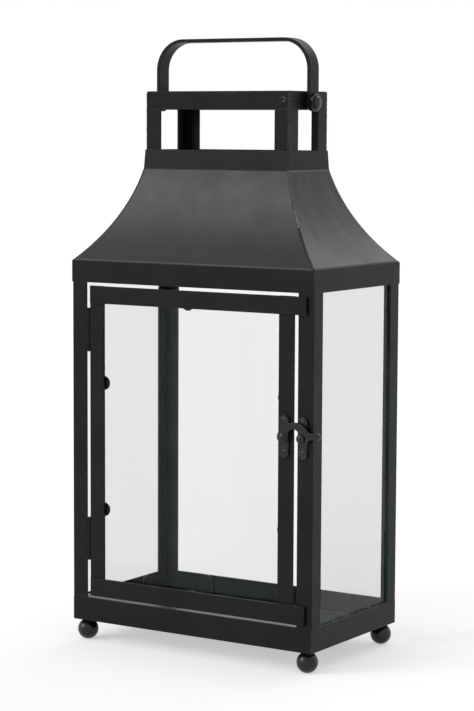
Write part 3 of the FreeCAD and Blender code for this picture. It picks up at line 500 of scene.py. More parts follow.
def soften(mesh: bmesh.types.BMesh, width: float, rings: int, sharp: float = 28.0) -> None:
    """Round the sharp edges of a mesh.

    Args:
        mesh: what is rounded.
        width: how far the rounding reaches from each edge.
        rings: number of faces across it.
        sharp: smallest bend in degrees that counts as an edge.
    """
    limit = math.radians(sharp)
    edges = [e for e in mesh.edges if len(e.link_faces) == 2 and e.calc_face_angle(0.0) > limit]
    bmesh.ops.bevel(mesh, geom=edges, offset=width, offset_type="OFFSET", segments=rings, profile=0.5,
                    affect="EDGES", clamp_overlap=True)


def as_mesh(mesh: bmesh.types.BMesh, name: str) -> bpy.types.Mesh:
    """Keep a bmesh as a plain mesh and free it.

    Args:
        mesh: the bmesh.
        name: the plain mesh's name.

    Returns:
        The plain mesh.
    """
    data = bpy.data.meshes.new(name)
    mesh.to_mesh(data)
    mesh.free()
    return data


def as_object(mesh: bmesh.types.BMesh | bpy.types.Mesh, name: str) -> bpy.types.Object:
    """Put a mesh in the scene as an object at the origin.

    Args:
        mesh: the mesh; a bmesh is freed.
        name: the object's name.

    Returns:
        The new object.
    """
    data = as_mesh(mesh, name) if isinstance(mesh, bmesh.types.BMesh) else mesh
    data.name = name
    made = bpy.data.objects.new(name, data)
    bpy.context.scene.collection.objects.link(made)
    return made


def settled(piece: bpy.types.Object) -> bpy.types.Object:
    """Turn an object's modifiers into its plain mesh.

    Args:
        piece: the object; its modifiers are removed.

    Returns:
        The same object with the finished mesh.
    """
    graph = bpy.context.evaluated_depsgraph_get()
    finished = bpy.data.meshes.new_from_object(piece.evaluated_get(graph), preserve_all_data_layers=True,
                                               depsgraph=graph)
    piece.modifiers.clear()
    old = piece.data
    piece.data = finished
    finished.name = piece.name
    bpy.data.meshes.remove(old)
    return piece


def shaded(piece: bpy.types.Object, finish: PaintFinish | GlassFinish) -> bpy.types.Object:
    """Shade a piece smoothly with flats kept flat, and give it its finish.

    Args:
        piece: the piece.
        finish: what it is painted with.

    Returns:
        The same piece.
    """
    piece.data.materials.clear()
    piece.data.materials.append(finish.material())
    for face in piece.data.polygons:
        face.use_smooth = True
        face.material_index = 0
    level = piece.modifiers.new("level_flats", "WEIGHTED_NORMAL")
    level.mode = "FACE_AREA"
    level.keep_sharp = True
    return settled(piece)


def line_inside(piece: bpy.types.Object, finish: PaintFinish, towards: float = 0.4) -> None:
    """Give the faces that look to the lantern's axis a finish of their own, used for a painted reflection of
    the panes in front of them.

    Args:
        piece: a piece of the lantern's walls.
        finish: what those faces are painted with.
        towards: least share of a face's normal that points at the axis.
    """
    piece.data.materials.append(finish.material())
    for face in piece.data.polygons:
        inward = -Vector((face.center.x, face.center.y, 0.0)).normalized()
        face.material_index = 1 if face.normal.dot(inward) > towards else 0


def turned(profile: list[tuple[float, float]], steps: int = 32) -> bpy.types.Mesh:
    """Turn a profile about the Z axis.

    Args:
        profile: radius and height of each point, from the axis at the foot to the axis at the top.
        steps: faces round the axis.

    Returns:
        The closed mesh.
    """
    mesh = bmesh.new()
    points = [mesh.verts.new((radius, 0, height)) for radius, height in profile]
    edges = [mesh.edges.new(pair) for pair in zip(points, points[1:])]
    bmesh.ops.spin(mesh, geom=points + edges, cent=(0, 0, 0), axis=(0, 0, 1), angle=math.tau, steps=steps)
    bmesh.ops.remove_doubles(mesh, verts=mesh.verts, dist=0.001 * MM)
    bmesh.ops.recalc_face_normals(mesh, faces=mesh.faces)
    return as_mesh(mesh, "turned")


def arc_points(start: float, end: float, radius: float, centre: tuple[float, float],
               count: int) -> list[tuple[float, float]]:
    """Points on a circle's arc."""
    angles = [math.radians(start + (end - start) * step / count) for step in range(count + 1)]
    return [(centre[0] + radius * math.cos(a), centre[1] + radius * math.sin(a)) for a in angles]


# ---------------------------------------------------------------- Geometry Nodes
SHEET_MERGE = 0.0005 * MM
STRIP_COLUMNS = 9
FILLET_STEPS = 6
EVEN_EDGE = 6.0
RIPPLE_RISE = 0.9
RIPPLE_LAYERS = 1.5
SHIFT_SEED = 7


def run_tree(tree: bpy.types.NodeTree, name: str, source: bpy.types.Mesh, values: dict) -> bpy.types.Object:
    """Run a geometry tree on a mesh and keep the result as a plain mesh.

    Args:
        tree: the geometry tree.
        name: name of the piece.
        source: the mesh that the tree starts from.
        values: its named inputs.

    Returns:
        The finished object.
    """
    piece = as_object(source, name)
    modifier = piece.modifiers.new(tree.name, "NODES")
    modifier.node_group = tree
    for item in tree.interface.items_tree:
        if item.in_out == "INPUT" and item.name in values:
            modifier[item.identifier] = values[item.name]
    return settled(piece)


def finish_tree(graph: Graph, geometry: object, material: object) -> bpy.types.NodeTree:
    """End a geometry tree: realize what is placed, shade it smooth and give it its material.

    Args:
        graph: the tree's graph.
        geometry: the geometry to end with.
        material: the material socket.

    Returns:
        The finished tree.
    """
    real = graph.add("GeometryNodeRealizeInstances", {0: geometry})
    smooth = graph.add("GeometryNodeSetShadeSmooth", {"Geometry": real})
    dressed = graph.add("GeometryNodeSetMaterial", {"Geometry": smooth, "Material": material})
    return close_tree(graph, {"Geometry": dressed})


@cache
def set_out_tree() -> bpy.types.NodeTree:
    """Copies of a pattern, one on each point, turned by the point's own attribute.

    Returns:
        The geometry tree.
    """
    graph, given = new_tree("set_out", "GeometryNodeTree",
                            {"Geometry": GEOMETRY, "Pattern": "NodeSocketObject", "Material": MATERIAL},
                            {"Geometry": GEOMETRY})
    pattern = graph.add("GeometryNodeObjectInfo", {"Object": given["Pattern"]})
    turn = graph.add("GeometryNodeInputNamedAttribute", {"Name": "turn"}, data_type="FLOAT_VECTOR")
    rotation = graph.add("FunctionNodeEulerToRotation", {0: turn.outputs["Attribute"]})
    copies = graph.add("GeometryNodeInstanceOnPoints", {
        "Points": given["Geometry"], "Instance": pattern.outputs["Geometry"], "Rotation": rotation})
    return finish_tree(graph, copies, given["Material"])


def closed_sheet(graph: Graph, grid: object, outer: object, inner: object) -> bpy.types.NodeSocket:
    """Make a closed sheet from a grid and the places of its two faces.

    Args:
        graph: the tree's graph.
        grid: the flat grid.
        outer: place of a grid point on the face that the grid's normals leave from.
        inner: place of the same point on the other face.

    Returns:
        The closed mesh.
    """
    front = graph.add("GeometryNodeSetPosition", {"Geometry": grid, "Position": outer})
    layer = graph.add("GeometryNodeExtrudeMesh", {"Mesh": grid, "Offset Scale": 0.0, "Individual": False})
    either = graph.add("GeometryNodeSwitch", {0: layer.outputs["Top"], 1: outer, 2: inner},
                       input_type="VECTOR")
    behind = graph.add("GeometryNodeSetPosition", {"Geometry": layer.outputs["Mesh"], "Position": either})
    behind = graph.add("GeometryNodeFlipFaces", {"Mesh": behind})
    both = graph.add("GeometryNodeJoinGeometry")
    graph.feed(both.inputs[0], front)
    graph.feed(both.inputs[0], behind)
    return graph.add("GeometryNodeMergeByDistance", {"Geometry": both, "Distance": SHEET_MERGE}).outputs[0]


@cache
def bent_strip_tree() -> bpy.types.NodeTree:
    """A strip of sheet metal that follows a bent path, with its last end rounded.

    The path lies in the local XZ plane, and the strip's width runs along Y.

    Returns:
        The geometry tree.
    """
    graph, given = new_tree("bent_strip", "GeometryNodeTree",
                            {"Geometry": GEOMETRY, **numbers("Width", "Thickness", "Bend"), "Steps": COUNT,
                             "Material": MATERIAL}, {"Geometry": GEOMETRY})
    path = graph.add("GeometryNodeMeshToCurve", {"Mesh": given["Geometry"]})
    path = graph.add("GeometryNodeFilletCurve", {
        "Curve": path, "Radius": given["Bend"], "Count": FILLET_STEPS}, mode="POLY")
    whole = graph.add("GeometryNodeCurveLength", {"Curve": path}).outputs["Length"]
    grid = graph.add("GeometryNodeMeshGrid", {"Size X": 2.0, "Size Y": 1.0, "Vertices X": STRIP_COLUMNS,
                                              "Vertices Y": given["Steps"]})
    flat = graph.add("ShaderNodeSeparateXYZ", {0: graph.add("GeometryNodeInputPosition")})
    across = flat.outputs["X"]
    along = graph.times(graph.plus(flat.outputs["Y"], 0.5), whole)
    sample = graph.add("GeometryNodeSampleCurve", {"Curves": path, "Length": along}, mode="LENGTH",
                       use_all_curves=True)
    half = graph.times(given["Width"], 0.5)
    left = graph.math("MINIMUM", graph.minus(whole, along), half)
    short = graph.minus(half, left)
    reach = graph.math("SQRT", graph.math(
        "MAXIMUM", graph.minus(graph.times(half, half), graph.times(short, short)), TINY))
    sideways = graph.add("ShaderNodeCombineXYZ", {"Y": graph.times(across, reach)})
    middle = graph.vector("ADD", sample.outputs["Position"], sideways)
    upright = graph.vector("CROSS_PRODUCT", sample.outputs["Tangent"], (0.0, 1.0, 0.0))
    outward = graph.add("ShaderNodeVectorMath", {0: graph.vector("NORMALIZE", upright), "Scale": graph.math(
        "MULTIPLY", given["Thickness"], 0.5)}, operation="SCALE")
    sheet = closed_sheet(graph, grid, graph.vector("ADD", middle, outward),
                         graph.vector("SUBTRACT", middle, outward))
    return finish_tree(graph, sheet, given["Material"])


@cache
def swept_roof_tree() -> bpy.types.NodeTree:
    """One panel of a hipped roof whose every level narrows along hollow curves.

    Own Out, Own Level and Own Radius give the circle that the panel itself follows, and Side Out,
    Side Level and Side Radius the one that its two hips follow. The panel is drawn for the front
    and turned to its side.

    Returns:
        The geometry tree.
    """
    graph, given = new_tree("swept_roof", "GeometryNodeTree",
                            {"Geometry": GEOMETRY, **numbers(
                                "Own Out", "Own Level", "Own Radius", "Side Out", "Side Level", "Side Radius",
                                "Foot", "Rise", "Thickness", "Ripple", "Ripple Scale", "Seed", "Turn"),
                             "Columns": COUNT, "Rows": COUNT, "Material": MATERIAL}, {"Geometry": GEOMETRY})
    grid = graph.add("GeometryNodeMeshGrid", {"Size X": 2.0, "Size Y": 1.0, "Vertices X": given["Columns"],
                                              "Vertices Y": given["Rows"]})
    flat = graph.add("ShaderNodeSeparateXYZ", {0: graph.add("GeometryNodeInputPosition")})
    across = flat.outputs["X"]
    up = graph.plus(flat.outputs["Y"], 0.5)
    level = graph.math("MULTIPLY_ADD", up, given["Rise"], given["Foot"])

    def reach(kind: str, extra: object) -> bpy.types.NodeSocket:
        """Distance of a hollow curve from the axis at this level.

        Args:
            kind: which of the two curves, Own or Side.
            extra: what is added to its radius.

        Returns:
            The distance.
        """
        radius = graph.plus(given[f"{kind} Radius"], extra)
        off = graph.minus(level, given[f"{kind} Level"])
        square = graph.minus(graph.times(radius, radius), graph.times(off, off))
        return graph.minus(given[f"{kind} Out"], graph.math("SQRT", square))

    wave = graph.add("ShaderNodeTexNoise", {
        "Vector": graph.add("ShaderNodeCombineXYZ", {"X": across, "Y": graph.times(up, RIPPLE_RISE)}),
        "W": given["Seed"], "Scale": given["Ripple Scale"], "Detail": RIPPLE_LAYERS}, noise_dimensions="4D")
    calm = graph.minus(1.0, graph.math("POWER", graph.math("ABSOLUTE", across), EVEN_EDGE))
    ends = graph.math("ABSOLUTE", graph.times(flat.outputs["Y"], 2.0))
    calm = graph.times(calm, graph.minus(1.0, graph.math("POWER", ends, EVEN_EDGE)))
    ripple = graph.times(graph.times(graph.minus(wave, 0.5), calm), given["Ripple"])

    def place(extra: object) -> bpy.types.NodeSocket:
        """Place of a grid point on one face of the sheet.

        Args:
            extra: how far the face lies inside the outer one.

        Returns:
            The place.
        """
        deep = graph.plus(reach("Own", extra), ripple)
        wide = graph.times(across, reach("Side", extra))
        return graph.add("ShaderNodeCombineXYZ", {"X": wide, "Y": graph.times(deep, -1.0),
                                                  "Z": level}).outputs[0]

    sheet = closed_sheet(graph, grid, place(0.0), place(given["Thickness"]))
    spin = graph.add("ShaderNodeCombineXYZ", {"Z": given["Turn"]})
    around = graph.add("GeometryNodeTransform", {"Geometry": sheet, "Rotation": spin})
    return finish_tree(graph, around, given["Material"])


@cache
def weld_bead_tree() -> bpy.types.NodeTree:
    """A lumpy weld bead that follows a path, drop after drop.

    Returns:
        The geometry tree.
    """
    graph, given = new_tree("weld_bead", "GeometryNodeTree",
                            {"Geometry": GEOMETRY, **numbers("Spacing", "Size", "Unevenness", "Wander"),
                             "Seed": COUNT, "Material": MATERIAL}, {"Geometry": GEOMETRY})
    path = graph.add("GeometryNodeMeshToCurve", {"Mesh": given["Geometry"]})
    drops = graph.add("GeometryNodeResampleCurve", {"Curve": path, "Length": given["Spacing"]}, mode="LENGTH")
    low = graph.minus(1.0, given["Unevenness"])
    high = graph.plus(1.0, given["Unevenness"])
    # a Random Value node's sockets share their names, so its range goes in by number
    share = graph.add("FunctionNodeRandomValue", {2: low, 3: high, "Seed": given["Seed"]}, data_type="FLOAT")
    size = graph.times(given["Size"], share.outputs[1])
    back = graph.times(given["Wander"], -1.0)
    shift = graph.add("FunctionNodeRandomValue", {"Seed": graph.plus(given["Seed"], SHIFT_SEED)},
                      data_type="FLOAT_VECTOR")
    for end, far in enumerate((back, given["Wander"])):
        graph.feed(shift.inputs[end], graph.add("ShaderNodeCombineXYZ", {axis: far for axis in "XYZ"}))
    moved = graph.add("GeometryNodeSetPosition", {"Geometry": drops, "Offset": shift.outputs[0]})
    drop = graph.add("GeometryNodeMeshIcoSphere", {"Radius": 1.0, "Subdivisions": 2})
    beads = graph.add("GeometryNodeInstanceOnPoints", {"Points": moved, "Instance": drop.outputs["Mesh"],
                                                       "Scale": size})
    return finish_tree(graph, beads, given["Material"])


def path_mesh(name: str, paths: list[list[Spot]]) -> bpy.types.Mesh:
    """Make a mesh of open lines.

    Args:
        name: the mesh's name.
        paths: the points of each line.

    Returns:
        The mesh.
    """
    points, edges = [], []
    for path in paths:
        first = len(points)
        points.extend(path)
        edges.extend((first + step, first + step + 1) for step in range(len(path) - 1))
    mesh = bpy.data.meshes.new(name)
    mesh.from_pydata(points, edges, [])
    return mesh


def set_out(name: str, pattern: bpy.types.Mesh, spots: list[tuple[Spot, Spot]],
            finish: PaintFinish) -> bpy.types.Object:
    """Lay copies of a pattern out on points.

    Args:
        name: name of the piece.
        pattern: the mesh that is repeated.
        spots: place and turn of each copy.
        finish: what the copies are painted with.

    Returns:
        The finished piece.
    """
    points = bpy.data.meshes.new(name)
    points.from_pydata([place for place, _ in spots], [], [])
    turns = points.attributes.new("turn", "FLOAT_VECTOR", "POINT")
    for number, (_, turn) in enumerate(spots):
        turns.data[number].vector = turn
    model = as_object(pattern, f"{name}_pattern")
    piece = run_tree(set_out_tree(), name, points, {"Pattern": model, "Material": finish.material()})
    bpy.data.objects.remove(model)
    return shaded(piece, finish)


# ---------------------------------------------------------------- sub-assemblies
class Assembly:
    """A sub-assembly that builds its pieces and puts them on the frame."""

    body: Body = Body.LANTERN

    def put(self, piece: bpy.types.Object, *nodes: str, slot: Slot = Slot.PAINT,
            body: Body | None = None) -> None:
        """Put a finished piece on its body, in place of its nodes.

        Args:
            piece: the finished piece.
            nodes: the CAD nodes it stands for.
            slot: the record's slot it would take its finish from; not used.
            body: the body it rides on, where that isn't the assembly's own.
        """
        rider = (body or self.body).value
        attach(piece, rider)
        if nodes:
            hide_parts(*nodes)
        LOG.info("%-28s on %-10s %6d faces", piece.name, rider, len(piece.data.polygons))

    def form(self, node: str, edge: float, finish: PaintFinish, rings: int = 2, body: Body | None = None,
             painted_reflection_inside: bool = False) -> None:
        """Build a piece as a copy of one node with softened edges.

        Args:
            node: the CAD node.
            edge: reach of the softening.
            finish: what the piece is painted with.
            rings: faces across each softened edge.
            body: the body it rides on, where that isn't the assembly's own.
            painted_reflection_inside: whether its faces towards the axis take the inner paint, a painted
                reflection of the panes.
        """
        mesh = merged_copy(node)
        soften(mesh, edge, rings)
        piece = shaded(as_object(mesh, f"formed_{node}"), finish)
        if painted_reflection_inside:
            line_inside(piece, LINING_OF_PAINTED_REFLECTION)
        self.put(piece, node, body=body)

    def weld(self, name: str, paths: list[list[Spot]], size: float, seed: int, wander: float = 0.15 * MM,
             uneven: float = 0.28, pitch: float = 1.05, finish: PaintFinish = WELD_PAINT) -> None:
        """Build weld beads along open lines.

        Args:
            name: name of the piece.
            paths: the lines.
            size: radius of a drop.
            seed: fixed seed of its unevenness.
            wander: how far a drop leaves the line.
            uneven: share by which the drops differ in size.
            pitch: drops' spacing as a share of their radius.
            finish: what the bead is painted with.
        """
        piece = run_tree(weld_bead_tree(), name, path_mesh(name, paths), {
            "Spacing": size * pitch, "Size": size, "Unevenness": uneven, "Wander": wander, "Seed": seed,
            "Material": finish.material()})
        self.put(shaded(piece, finish))


@dataclass
class Base(Assembly):
    """Ball feet, floor plate, the four mitred rails and the sill under the door."""

    ball_radius: float = 7.5 * MM
    flat_radius: float = 1.5 * MM
    stud_radius: float = 2.5 * MM
    foot_inset: float = 7.5 * MM
    foot_turn: float = 0.6
    ball_rings: int = 26
    ball_steps: int = 48
    rail_edge: float = 0.3 * MM
    plate_edge: float = 0.25 * MM
    sill_depth: float = 10.5 * MM
    sill_lip: float = 6.0 * MM
    sill_metal: float = 1.5 * MM
    sill_room: float = 0.5 * MM
    tack_size: float = 0.6 * MM
    tack_inset: float = 0.45 * MM
    tack_half: float = 4.0 * MM
    tack_wander: float = 0.08 * MM
    long_side_tacks: tuple[float, ...] = (-0.7, -0.25, 0.25, 0.7)
    short_side_tacks: tuple[float, ...] = (-0.5, 0.5)

    def build(self) -> None:
        """Build the base."""
        self.feet()
        self.form("floor_plate", self.plate_edge, FLOOR_PAINT_WITH_PAINTED_REFLECTION)
        for side in Side:
            self.form(f"base_rail_{side.label}", self.rail_edge, SHEET_PAINT, painted_reflection_inside=True)
        self.sill()
        self.tacks()

    def sill(self) -> None:
        """A sheet folded in behind the front rail, which shows through the gap under the door."""
        low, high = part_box("base_rail_front")
        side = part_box("glass_right")[0].x - self.sill_room
        front, back, top = high.y, high.y + self.sill_depth, high.z
        inner, under, lip = back - self.sill_metal, top - self.sill_metal, top - self.sill_lip
        section = [(front, top), (back, top), (back, lip), (inner, lip), (inner, under), (front, under)]
        mesh = bmesh.new()
        end = mesh.faces.new([mesh.verts.new((-side, y, z)) for y, z in section])
        swept = bmesh.ops.extrude_face_region(mesh, geom=[end])
        moved = [item for item in swept["geom"] if isinstance(item, bmesh.types.BMVert)]
        bmesh.ops.translate(mesh, verts=moved, vec=(2 * side, 0, 0))
        bmesh.ops.recalc_face_normals(mesh, faces=mesh.faces)
        soften(mesh, self.rail_edge, 2)
        self.put(shaded(as_object(mesh, "folded_sill"), SILL_PAINT_WITH_PAINTED_HIGHLIGHT))

    def ball(self) -> bpy.types.Mesh:
        """A turned ball with a flat under it and a stud on top.

        Returns:
            The ball's mesh.
        """
        low = -math.degrees(math.acos(self.flat_radius / self.ball_radius))
        high = math.degrees(math.acos(self.stud_radius / self.ball_radius))
        middle = (0.0, math.sqrt(self.ball_radius ** 2 - self.flat_radius ** 2))
        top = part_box("floor_plate")[0].z
        profile = [(0.0, 0.0), *arc_points(low, high, self.ball_radius, middle, self.ball_rings),
                   (self.stud_radius, top), (0.0, top)]
        return turned(profile, self.ball_steps)

    def feet(self) -> None:
        """The four balls, one under each corner."""
        low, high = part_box("base_rail_front")[0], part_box("base_rail_back")[1]
        spots = [((high.x - self.foot_inset if corner.value[0] > 0 else low.x + self.foot_inset,
                   high.y - self.foot_inset if corner.value[1] > 0 else low.y + self.foot_inset, 0.0),
                  (0.0, 0.0, self.foot_turn * number)) for number, corner in enumerate(Corner)]
        self.put(set_out("turned_ball_feet", self.ball(), spots, CAST_PAINT), "ball_feet")

    def tacks(self) -> None:
        """Short welds that hold the floor plate in the rails, seen from below."""
        low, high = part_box("floor_plate")
        inset, half, level = self.tack_inset, self.tack_half, low.z + self.tack_inset
        paths = []
        for share in self.long_side_tacks:
            x = share * high.x
            paths += [[(x - half, y, level), (x + half, y, level)] for y in (low.y + inset, high.y - inset)]
        for share in self.short_side_tacks:
            y = share * high.y
            paths += [[(x, y - half, level), (x, y + half, level)] for x in (low.x + inset, high.x - inset)]
        self.weld("floor_plate_tacks", paths, self.tack_size, seed=3, wander=self.tack_wander)


@dataclass
class CornerFrame(Assembly):
    """The four corner posts and the band under the roof."""

    post_edge: float = 0.25 * MM
    rail_edge: float = 0.3 * MM

    def build(self) -> None:
        """Build posts and band."""
        for corner in Corner:
            self.form(f"corner_post_{corner.label}", self.post_edge, SHEET_PAINT, painted_reflection_inside=True)
        for side in Side:
            self.form(f"eave_rail_{side.label}", self.rail_edge, SHEET_PAINT, painted_reflection_inside=True)


@dataclass(frozen=True)
class Sweep:
    """The hollow circle that the roof follows across one direction."""

    top: float
    foot: float
    top_level: float
    foot_level: float
    radius: float

    @property
    def centre(self) -> tuple[float, float]:
        """Distance of the circle's centre from the axis, and its level."""
        run = Vector((self.foot - self.top, self.foot_level - self.top_level))
        aside = Vector((-run.y, run.x)).normalized()
        off = math.sqrt(self.radius ** 2 - (run.length / 2) ** 2)
        spot = Vector((self.top, self.top_level)) + run / 2 + aside * off
        return spot.x, spot.y

    def reach(self, level: float) -> float:
        """Distance of the roof's face from the axis at a level."""
        out, middle = self.centre
        return out - math.sqrt(self.radius ** 2 - (level - middle) ** 2)


@dataclass
class Roof(Assembly):
    """Four swept panels with their hips welded."""

    front_radius: float = 147.0 * MM
    side_radius: float = 137.0 * MM
    thickness: float = 1.2 * MM
    ripple: float = 0.9 * MM
    ripple_scale: float = 2.3
    first_seed: float = 3.0
    hip_bead: float = 0.6 * MM
    coarse_bead: float = 0.7 * MM
    coarse_share: float = 0.62
    hip_sink: float = 0.5 * MM
    coarse_sink: float = 0.35 * MM
    hip_foot_room: float = 1.5 * MM
    hip_steps: int = 24
    columns: int = 81
    rows: int = 41

    def build(self) -> None:
        """Build the panels and the beads on their hips."""
        for number, side in enumerate(Side):
            self.panel(side, self.first_seed + number)
        self.hips()

    def sweeps(self) -> tuple[Sweep, Sweep]:
        """The circles that the front and the side panels follow.

        Returns:
            The front panels' circle, and the side panels'.
        """
        low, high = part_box("roof_panel_front")
        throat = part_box("chimney_collar")[1]
        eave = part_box("eave_rail_back")[1]
        front = Sweep(throat.y, eave.y, high.z, low.z, self.front_radius)
        side = Sweep(throat.x, eave.x, high.z, low.z, self.side_radius)
        return front, side

    def panel(self, side: Side, seed: float) -> None:
        """Draw one panel.

        Args:
            side: the side it faces.
            seed: fixed seed of its ripple.
        """
        own, cross = self.sweeps() if side.value % 2 == 0 else reversed(self.sweeps())
        name = f"swept_roof_panel_{side.label}"
        piece = run_tree(swept_roof_tree(), name, bpy.data.meshes.new(name), {
            "Own Out": own.centre[0], "Own Level": own.centre[1], "Own Radius": own.radius,
            "Side Out": cross.centre[0], "Side Level": cross.centre[1], "Side Radius": cross.radius,
            "Foot": own.foot_level, "Rise": own.top_level - own.foot_level, "Thickness": self.thickness,
            "Ripple": self.ripple, "Ripple Scale": self.ripple_scale, "Seed": seed, "Turn": side.turn,
            "Columns": self.columns, "Rows": self.rows, "Material": ROOF_PAINT.material()})
        self.put(shaded(piece, ROOF_PAINT), f"roof_panel_{side.label}")

    def hips(self) -> None:
        """Weld beads down the four hips, one of them coarse over its upper part."""
        coarse = int(self.hip_steps * self.coarse_share)
        smooth = [self.hip(corner, 0, self.hip_steps, self.hip_sink)
                  for corner in Corner if corner is not Corner.FRONT_RIGHT]
        smooth.append(self.hip(Corner.FRONT_RIGHT, coarse, self.hip_steps, self.hip_sink))
        self.weld("hip_welds", smooth, self.hip_bead, seed=11, wander=0.06 * MM, uneven=0.12)
        ridge = [self.hip(Corner.FRONT_RIGHT, 0, coarse, self.coarse_sink)]
        self.weld("coarse_hip_weld", ridge, self.coarse_bead, seed=13, wander=0.2 * MM, uneven=0.3,
                  pitch=0.6, finish=HIGHLIT_COARSE_WELD_PAINT)

    def hip(self, corner: Corner, first: int, last: int, sink: float) -> list[Spot]:
        """The line that a hip's bead follows.

        Args:
            corner: the corner it runs down to.
            first: number of its first point, counted from the top.
            last: number of its last point.
            sink: how far the line lies under the hip.

        Returns:
            The line's points.
        """
        front, side = self.sweeps()
        x_sign, y_sign = corner.value
        drop = front.foot_level + self.hip_foot_room - front.top_level
        path = []
        for step in range(first, last + 1):
            level = front.top_level + drop * step / self.hip_steps
            x, y = side.reach(level) - sink, front.reach(level) - sink
            path.append((x * x_sign, y * y_sign, level - sink))
        return path


@dataclass
class Chimney(Assembly):
    """Collar, open windows, band and cap over the roof."""

    edge: float = 0.25 * MM
    collar_edge: float = 0.18 * MM
    bead: float = 0.5 * MM
    sink: float = 0.4 * MM
    coarse_bead: float = 0.85 * MM
    coarse_sink: float = 0.55 * MM
    spatter: float = 0.35 * MM
    spatter_sink: float = 0.1 * MM
    spatter_length: float = 2.4
    # millimetres left of the corner and above the band's middle, and each line's rise
    spatter_lines: tuple[Spot, ...] = ((8.5, 1.6, 0.5), (6.2, 0.4, -0.6), (7.4, -0.9, 0.2), (4.6, 1.9, -0.4),
                                       (4.2, -0.6, 0.7), (5.4, 2.9, 0.1))

    def build(self) -> None:
        """Build the chimney."""
        self.form("chimney_collar", self.collar_edge, SHEET_PAINT)
        for corner in Corner:
            self.form(f"chimney_post_{corner.label}", self.edge, SHEET_PAINT)
        self.form("top_band", self.edge, SHEET_PAINT)
        self.form("cap_plate", self.edge, SHEET_PAINT)
        smooth = [self.upright(corner, self.sink) for corner in Corner if corner is not Corner.FRONT_RIGHT]
        self.weld("chimney_corner_welds", smooth, self.bead, seed=23, wander=0.06 * MM, uneven=0.15)
        ridge = [self.upright(Corner.FRONT_RIGHT, self.coarse_sink)]
        self.weld("coarse_chimney_weld", ridge, self.coarse_bead, seed=29, wander=0.25 * MM, uneven=0.35,
                  pitch=0.7)
        self.spatters()

    def upright(self, corner: Corner, sink: float) -> list[Spot]:
        """The line of a bead up a corner of collar, post and band.

        Args:
            corner: the corner it runs up.
            sink: how far the line lies under the faces.

        Returns:
            The line's points.
        """
        low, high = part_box("chimney_collar")
        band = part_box("top_band")[1]
        x_sign, y_sign = corner.value
        foot = ((high.x - sink) * x_sign, (high.y - sink) * y_sign, low.z)
        head = ((band.x - sink) * x_sign, (band.y - sink) * y_sign, high.z)
        return [foot, head, (*head[:2], band.z - sink)]

    def spatters(self) -> None:
        """Spatter on the band's front beside the coarse bead."""
        low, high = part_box("top_band")
        level = (low.z + high.z) / 2
        face = low.y + self.spatter_sink
        paths = []
        for left, up, rise in self.spatter_lines:
            right = left - self.spatter_length
            paths.append([(high.x - left * MM, face, level + up * MM),
                          (high.x - right * MM, face, level + (up + rise) * MM)])
        self.weld("band_spatter", paths, self.spatter, seed=31, wander=0.45 * MM, uneven=0.5,
                  finish=HIGHLIT_COARSE_WELD_PAINT)


@dataclass
class CarryingHandle(Assembly):
    """The bail and the rivets, washers and spacers it swings on."""

    bar_edge: float = 0.4 * MM
    head_radius: float = 4.6 * MM
    head_height: float = 2.4 * MM
    shank_radius: float = 2.0 * MM
    washer_radius: float = 6.4 * MM
    spacer_radius: float = 5.0 * MM
    band_metal: float = 1.5 * MM
    rim: float = 0.35 * MM
    hole_room: float = 0.05 * MM
    dome_steps: int = 15
    turn_steps: int = 40

    def build(self) -> None:
        """Build the handle and its pivots."""
        self.form("carrying_handle", self.bar_edge, SHEET_PAINT, rings=3, body=Body.HANDLE)
        self.pivots()

    def pivots(self) -> None:
        """Turned rivets, washers and spacers at both sides."""
        low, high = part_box("handle_rivets")
        level = (low.z + high.z) / 2
        washer_in, washer_out = self.faces("handle_washers")
        spacer_in, spacer_out = self.faces("handle_spacers")
        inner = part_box("top_band")[1].x - self.band_metal
        rise = self.head_height - self.rim
        angles = [math.radians(90.0 / self.dome_steps * step) for step in range(self.dome_steps)]
        dome = [(self.head_radius * math.cos(a), self.rim + rise * math.sin(a)) for a in angles]
        rivet = turned([(0.0, inner - washer_out), (self.shank_radius, inner - washer_out),
                        (self.shank_radius, 0.0), (self.head_radius, 0.0), *dome, (0.0, self.head_height)],
                       self.turn_steps)
        washer = self.disc(self.washer_radius, washer_out - washer_in)
        spacer = self.disc(self.spacer_radius, spacer_out - spacer_in)
        for kind, pattern, reach in (("rivets", rivet, washer_out), ("washers", washer, washer_in),
                                     ("spacers", spacer, spacer_in)):
            self.set_pair(f"turned_handle_{kind}", pattern, reach, level, f"handle_{kind}")

    def faces(self, node: str) -> tuple[float, float]:
        """Inner and outer face of the right-hand solid of a mirrored pair, along X."""
        spots = [vertex.co.x for vertex in bpy.data.objects[node].data.vertices if vertex.co.x > 0]
        return min(spots), max(spots)

    def disc(self, radius: float, thick: float) -> bpy.types.Mesh:
        """A washer with soft edges round the shank.

        Args:
            radius: its outer radius.
            thick: its thickness.

        Returns:
            The washer's mesh.
        """
        soft = min(self.rim, thick / 3)
        hole = self.shank_radius + self.hole_room
        profile = [(hole, 0.0), (radius - soft, 0.0), *arc_points(-90, 0, soft, (radius - soft, soft), 4)[1:],
                   *arc_points(0, 90, soft, (radius - soft, thick - soft), 4), (hole, thick), (hole, 0.0)]
        return turned(profile, self.turn_steps)

    def set_pair(self, name: str, pattern: bpy.types.Mesh, reach: float, level: float, node: str) -> None:
        """Set a turned piece out at both sides, its foot that far from the axis."""
        spots = [((sign * reach, 0.0, level), (0.0, sign * math.pi / 2, 0.0)) for sign in (-1, 1)]
        self.put(set_out(name, pattern, spots, CAST_PAINT), node)


